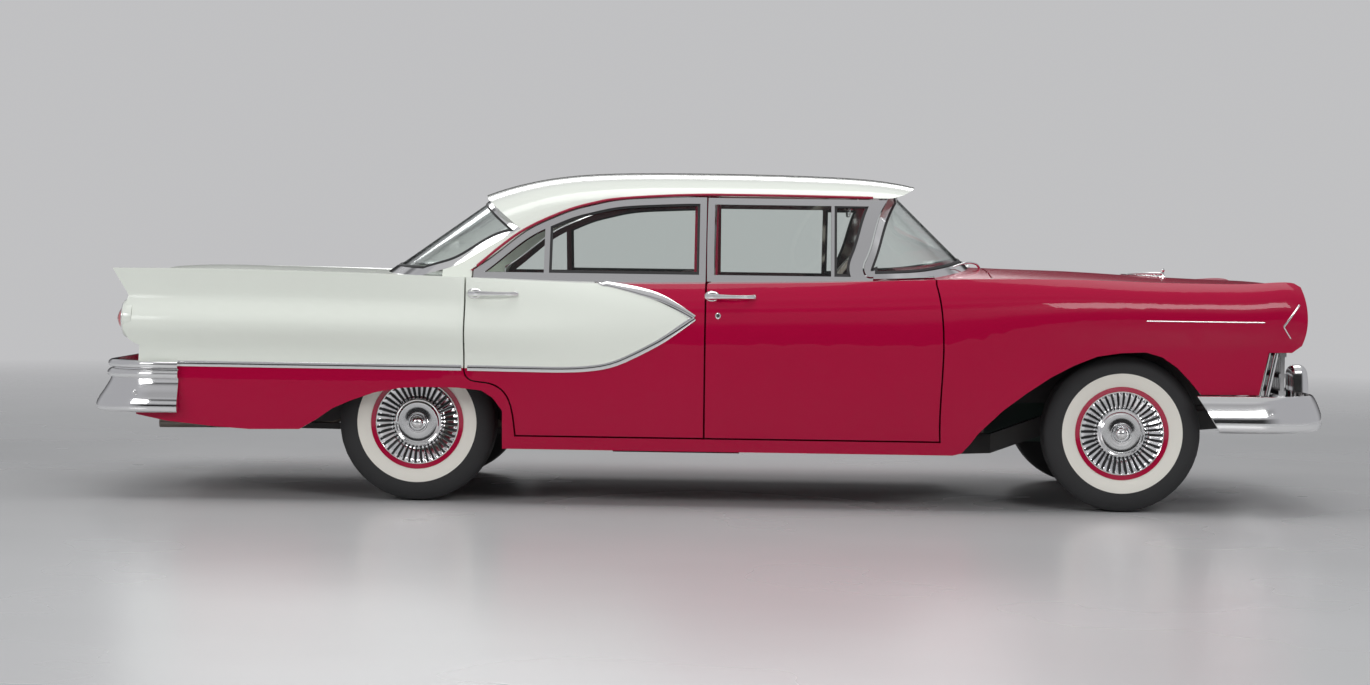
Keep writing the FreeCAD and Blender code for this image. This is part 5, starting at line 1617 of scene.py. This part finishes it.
    def mirror(self) -> None:
        """The mirror under the windshield's head."""
        case = moved(rounded_block(self.mirror_size, self.mirror_radius, cuts=(2, 10, 4)), self.mirror_place)
        stem = wire([Vector(point) for point in self.mirror_stem], self.thin)
        piece("cabin_mirror", joined([case, stem]))

    def build(self) -> None:
        """Makes the whole lining."""
        self.lining()
        for side in Side:
            for row, back, front in self.card_x:
                self.card(f"door_{row.value}_{side.word}", side, back, front)
        self.dash()
        self.mirror()


@dataclass
class Wipers:
    """Two wipers on the cowl, parked along the windshield's foot."""

    foot: Pair = (1.19, 0.3)
    tip: Pair = (1.055, 0.56)
    tip_lift: float = 0.012
    foot_lift: float = 0.022
    middle_lift: float = 0.03
    radius: float = 0.004
    shares: tuple[float, ...] = (1.6, 1.4, 1.0, 0.7)

    def build(self) -> None:
        """Makes both wipers."""
        skin = Skin("cowl", "windshield_frame", "windshield", "hood")
        for side in Side:
            foot, tip = side.at(*self.foot, 0), side.at(*self.tip, 0)
            foot.z = skin.above(foot.x, foot.y)[0].z
            tip.z = skin.above(tip.x, tip.y)[0].z + self.tip_lift
            middle = (foot + tip) / 2 + UP * self.middle_lift
            arm = wire([foot, foot + UP * self.foot_lift, middle, tip], self.radius, self.shares)
            piece(f"wiper_arm_{side.word}", arm)


@dataclass
class Studio:
    """A pale floor that fades into a pale room, soft lamps, a wall of tones for metal, and the camera."""

    lens: float = 73.13
    sensor: float = 36.0
    sight: float = 400.0
    place: Triple = (0.1618, -12.642, 1.0998)
    yaw: float = 1.245
    pitch: float = 1.962
    roll: float = 0.791
    floor_half: float = 60.0
    floor_tones: tuple[Colour, Colour] = ((0.6, 0.6, 0.6, 1), (0.64, 0.64, 0.64, 1))
    floor_patches: float = 0.6
    floor_rough: Pair = (0.24, 0.06)
    fade: Pair = (4.0, 14.0)
    pale: Colour = (0.53, 0.53, 0.54, 1)
    glow: Colour = (0.42, 0.43, 0.45, 1)
    band_radius: float = 22.0
    band_depth: float = 0.2
    band: Pair = (-0.3, 26.0)
    band_tones: Line = ((0.0, 0.015), (0.19, 0.025), (0.25, 0.45), (0.42, 0.5), (0.47, 0.08), (0.53, 0.08),
                        (0.6, 0.48), (0.76, 0.34), (0.9, 0.55), (1.0, 0.6))
    band_blue: float = 1.03
    end_tone: Colour = (0.42, 0.42, 0.44, 1)
    end_start: float = 0.45
    end_gain: float = 3.0
    aim: Vector = Vector((0, 0, 0.7))
    # Each lamp's name, place, size and power
    lamps: tuple[tuple[str, Triple, Pair, float], ...] = (
        ("overhead", (0.5, -1.0, 6.5), (9.0, 3.0), 195.0),
        ("near_front", (4.5, -9.0, 5.0), (4.0, 2.0), 225.0),
        ("near_rear", (-6.5, -7.0, 4.0), (4.0, 2.0), 140.0),
        ("far_side", (-1.0, 8.5, 5.0), (7.0, 2.5), 180.0),
    )

    def camera(self) -> None:
        """The camera at the photograph's angle."""
        data = bpy.data.cameras.new("view")
        data.sensor_width = self.sensor
        data.lens = self.lens
        data.clip_end = self.sight
        move = Matrix.Translation(self.place)
        for degrees, axis in ((self.yaw, "Z"), (90 - self.pitch, "X"), (self.roll, "Z")):
            move = move @ Matrix.Rotation(math.radians(degrees), 4, axis)
        made = linked("view", data)
        made.matrix_world = move
        bpy.context.scene.camera = made

    def stage(self, name: str, mesh: Mesh, material: bpy.types.Material) -> bpy.types.Object:
        """Makes one object of the stage."""
        made = linked(name, filled(name, mesh, material))
        return made

    def floor(self) -> None:
        """A wide pale floor with a slight gloss, clear where it is far away."""
        shader = Shader("studio_floor")
        x, y, _ = shader.along()
        wander = shader.noise(self.floor_patches)
        least, spread = self.floor_rough
        base = shader.node("BsdfPrincipled", {}, {
            "Base Color": shader.blend(wander, *self.floor_tones), "Roughness": wander * spread + least})
        far = ((x * x + y * y).does("SQRT") - self.fade[0]) / (self.fade[1] - self.fade[0])
        material = shader.mixed(far.held(), base, shader.node("BsdfTransparent", {}, {}))
        mesh = bmesh.new()
        bmesh.ops.create_grid(mesh, x_segments=1, y_segments=1, size=self.floor_half)
        self.stage("studio_floor", mesh, material)

    def wall(self) -> None:
        """A wall of dark and pale stretches all round, which only gloss shows, as contrast for metal."""
        shader = Shader("studio_band")
        low, high = self.band
        near, far = self.band_radius, self.band_radius + self.band_depth
        x, _, z = shader.along()
        stops = [(place, (tone, tone, tone * self.band_blue, 1)) for place, tone in self.band_tones]
        ramp = shader.node("ValToRGB", {"stops": stops}, {0: (z - low) / (high - low)})
        ends = (x.does("ABSOLUTE") / near - self.end_start) * self.end_gain
        tone = shader.blend(ends.held(), ramp.outputs[0], self.end_tone)
        material = shader.surface({
            "Base Color": (0, 0, 0, 1),
            "Emission Color": tone,
            "Emission Strength": 1.0,
            "Roughness": 1.0,
            "Specular IOR Level": 0.0,
        })
        ring = [(near, low), (near, high), (far, high), (far, low), (near, low)]
        made = self.stage("studio_band", lathe(ring, Vector((0, 0, 0)), UP, steps=64), material)
        made.visible_camera = made.visible_diffuse = made.visible_transmission = made.visible_shadow = False

    def lamp(self, name: str, spot: Triple, size: Pair, power: float) -> None:
        """One soft lamp that faces the car's middle."""
        data = bpy.data.lights.new(name, "AREA")
        data.shape = "RECTANGLE"
        data.size, data.size_y = size
        data.energy = power
        turn = (self.aim - Vector(spot)).to_track_quat("-Z", "Y").to_matrix().to_4x4()
        linked(name, data).matrix_world = Matrix.Translation(spot) @ turn

    def world(self) -> None:
        """A pale room behind the car and in its gloss, and an even light from every side."""
        shader = Shader("room", world=True)
        path = shader.node("LightPath", {}, {})
        camera, gloss, through = (Maths(shader, path.outputs[f"Is {word} Ray"])
                                  for word in ("Camera", "Glossy", "Transmission"))
        seen = camera.does("MAXIMUM", gloss).does("MAXIMUM", through)
        glow, shown = (shader.node("Background", {}, {0: colour}) for colour in (self.glow, self.pale))
        bpy.context.scene.world = shader.mixed(seen, glow, shown)

    def build(self) -> None:
        """Sets up the studio."""
        self.camera()
        self.floor()
        self.wall()
        self.world()
        for lamp in self.lamps:
            self.lamp(*lamp)
        bpy.context.scene.view_settings.view_transform = "Standard"
        log.info("studio ready")


def main() -> None:
    """Builds every class in order around the frame."""
    logging.basicConfig(level=logging.INFO, format="%(name)s: %(message)s")
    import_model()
    Studio().build()
    for kind in (CarriedNodes, Wheels, Bumpers, SideSpear, QuarterLine, Gaskets, DoorHardware, DripRails,
                 GrilleEnds, HoodSpear, FenderTrim, Headlamps, TailLamps, Benches, Cabin, Wipers):
        kind().build()


if __name__ == "__main__":
    main()
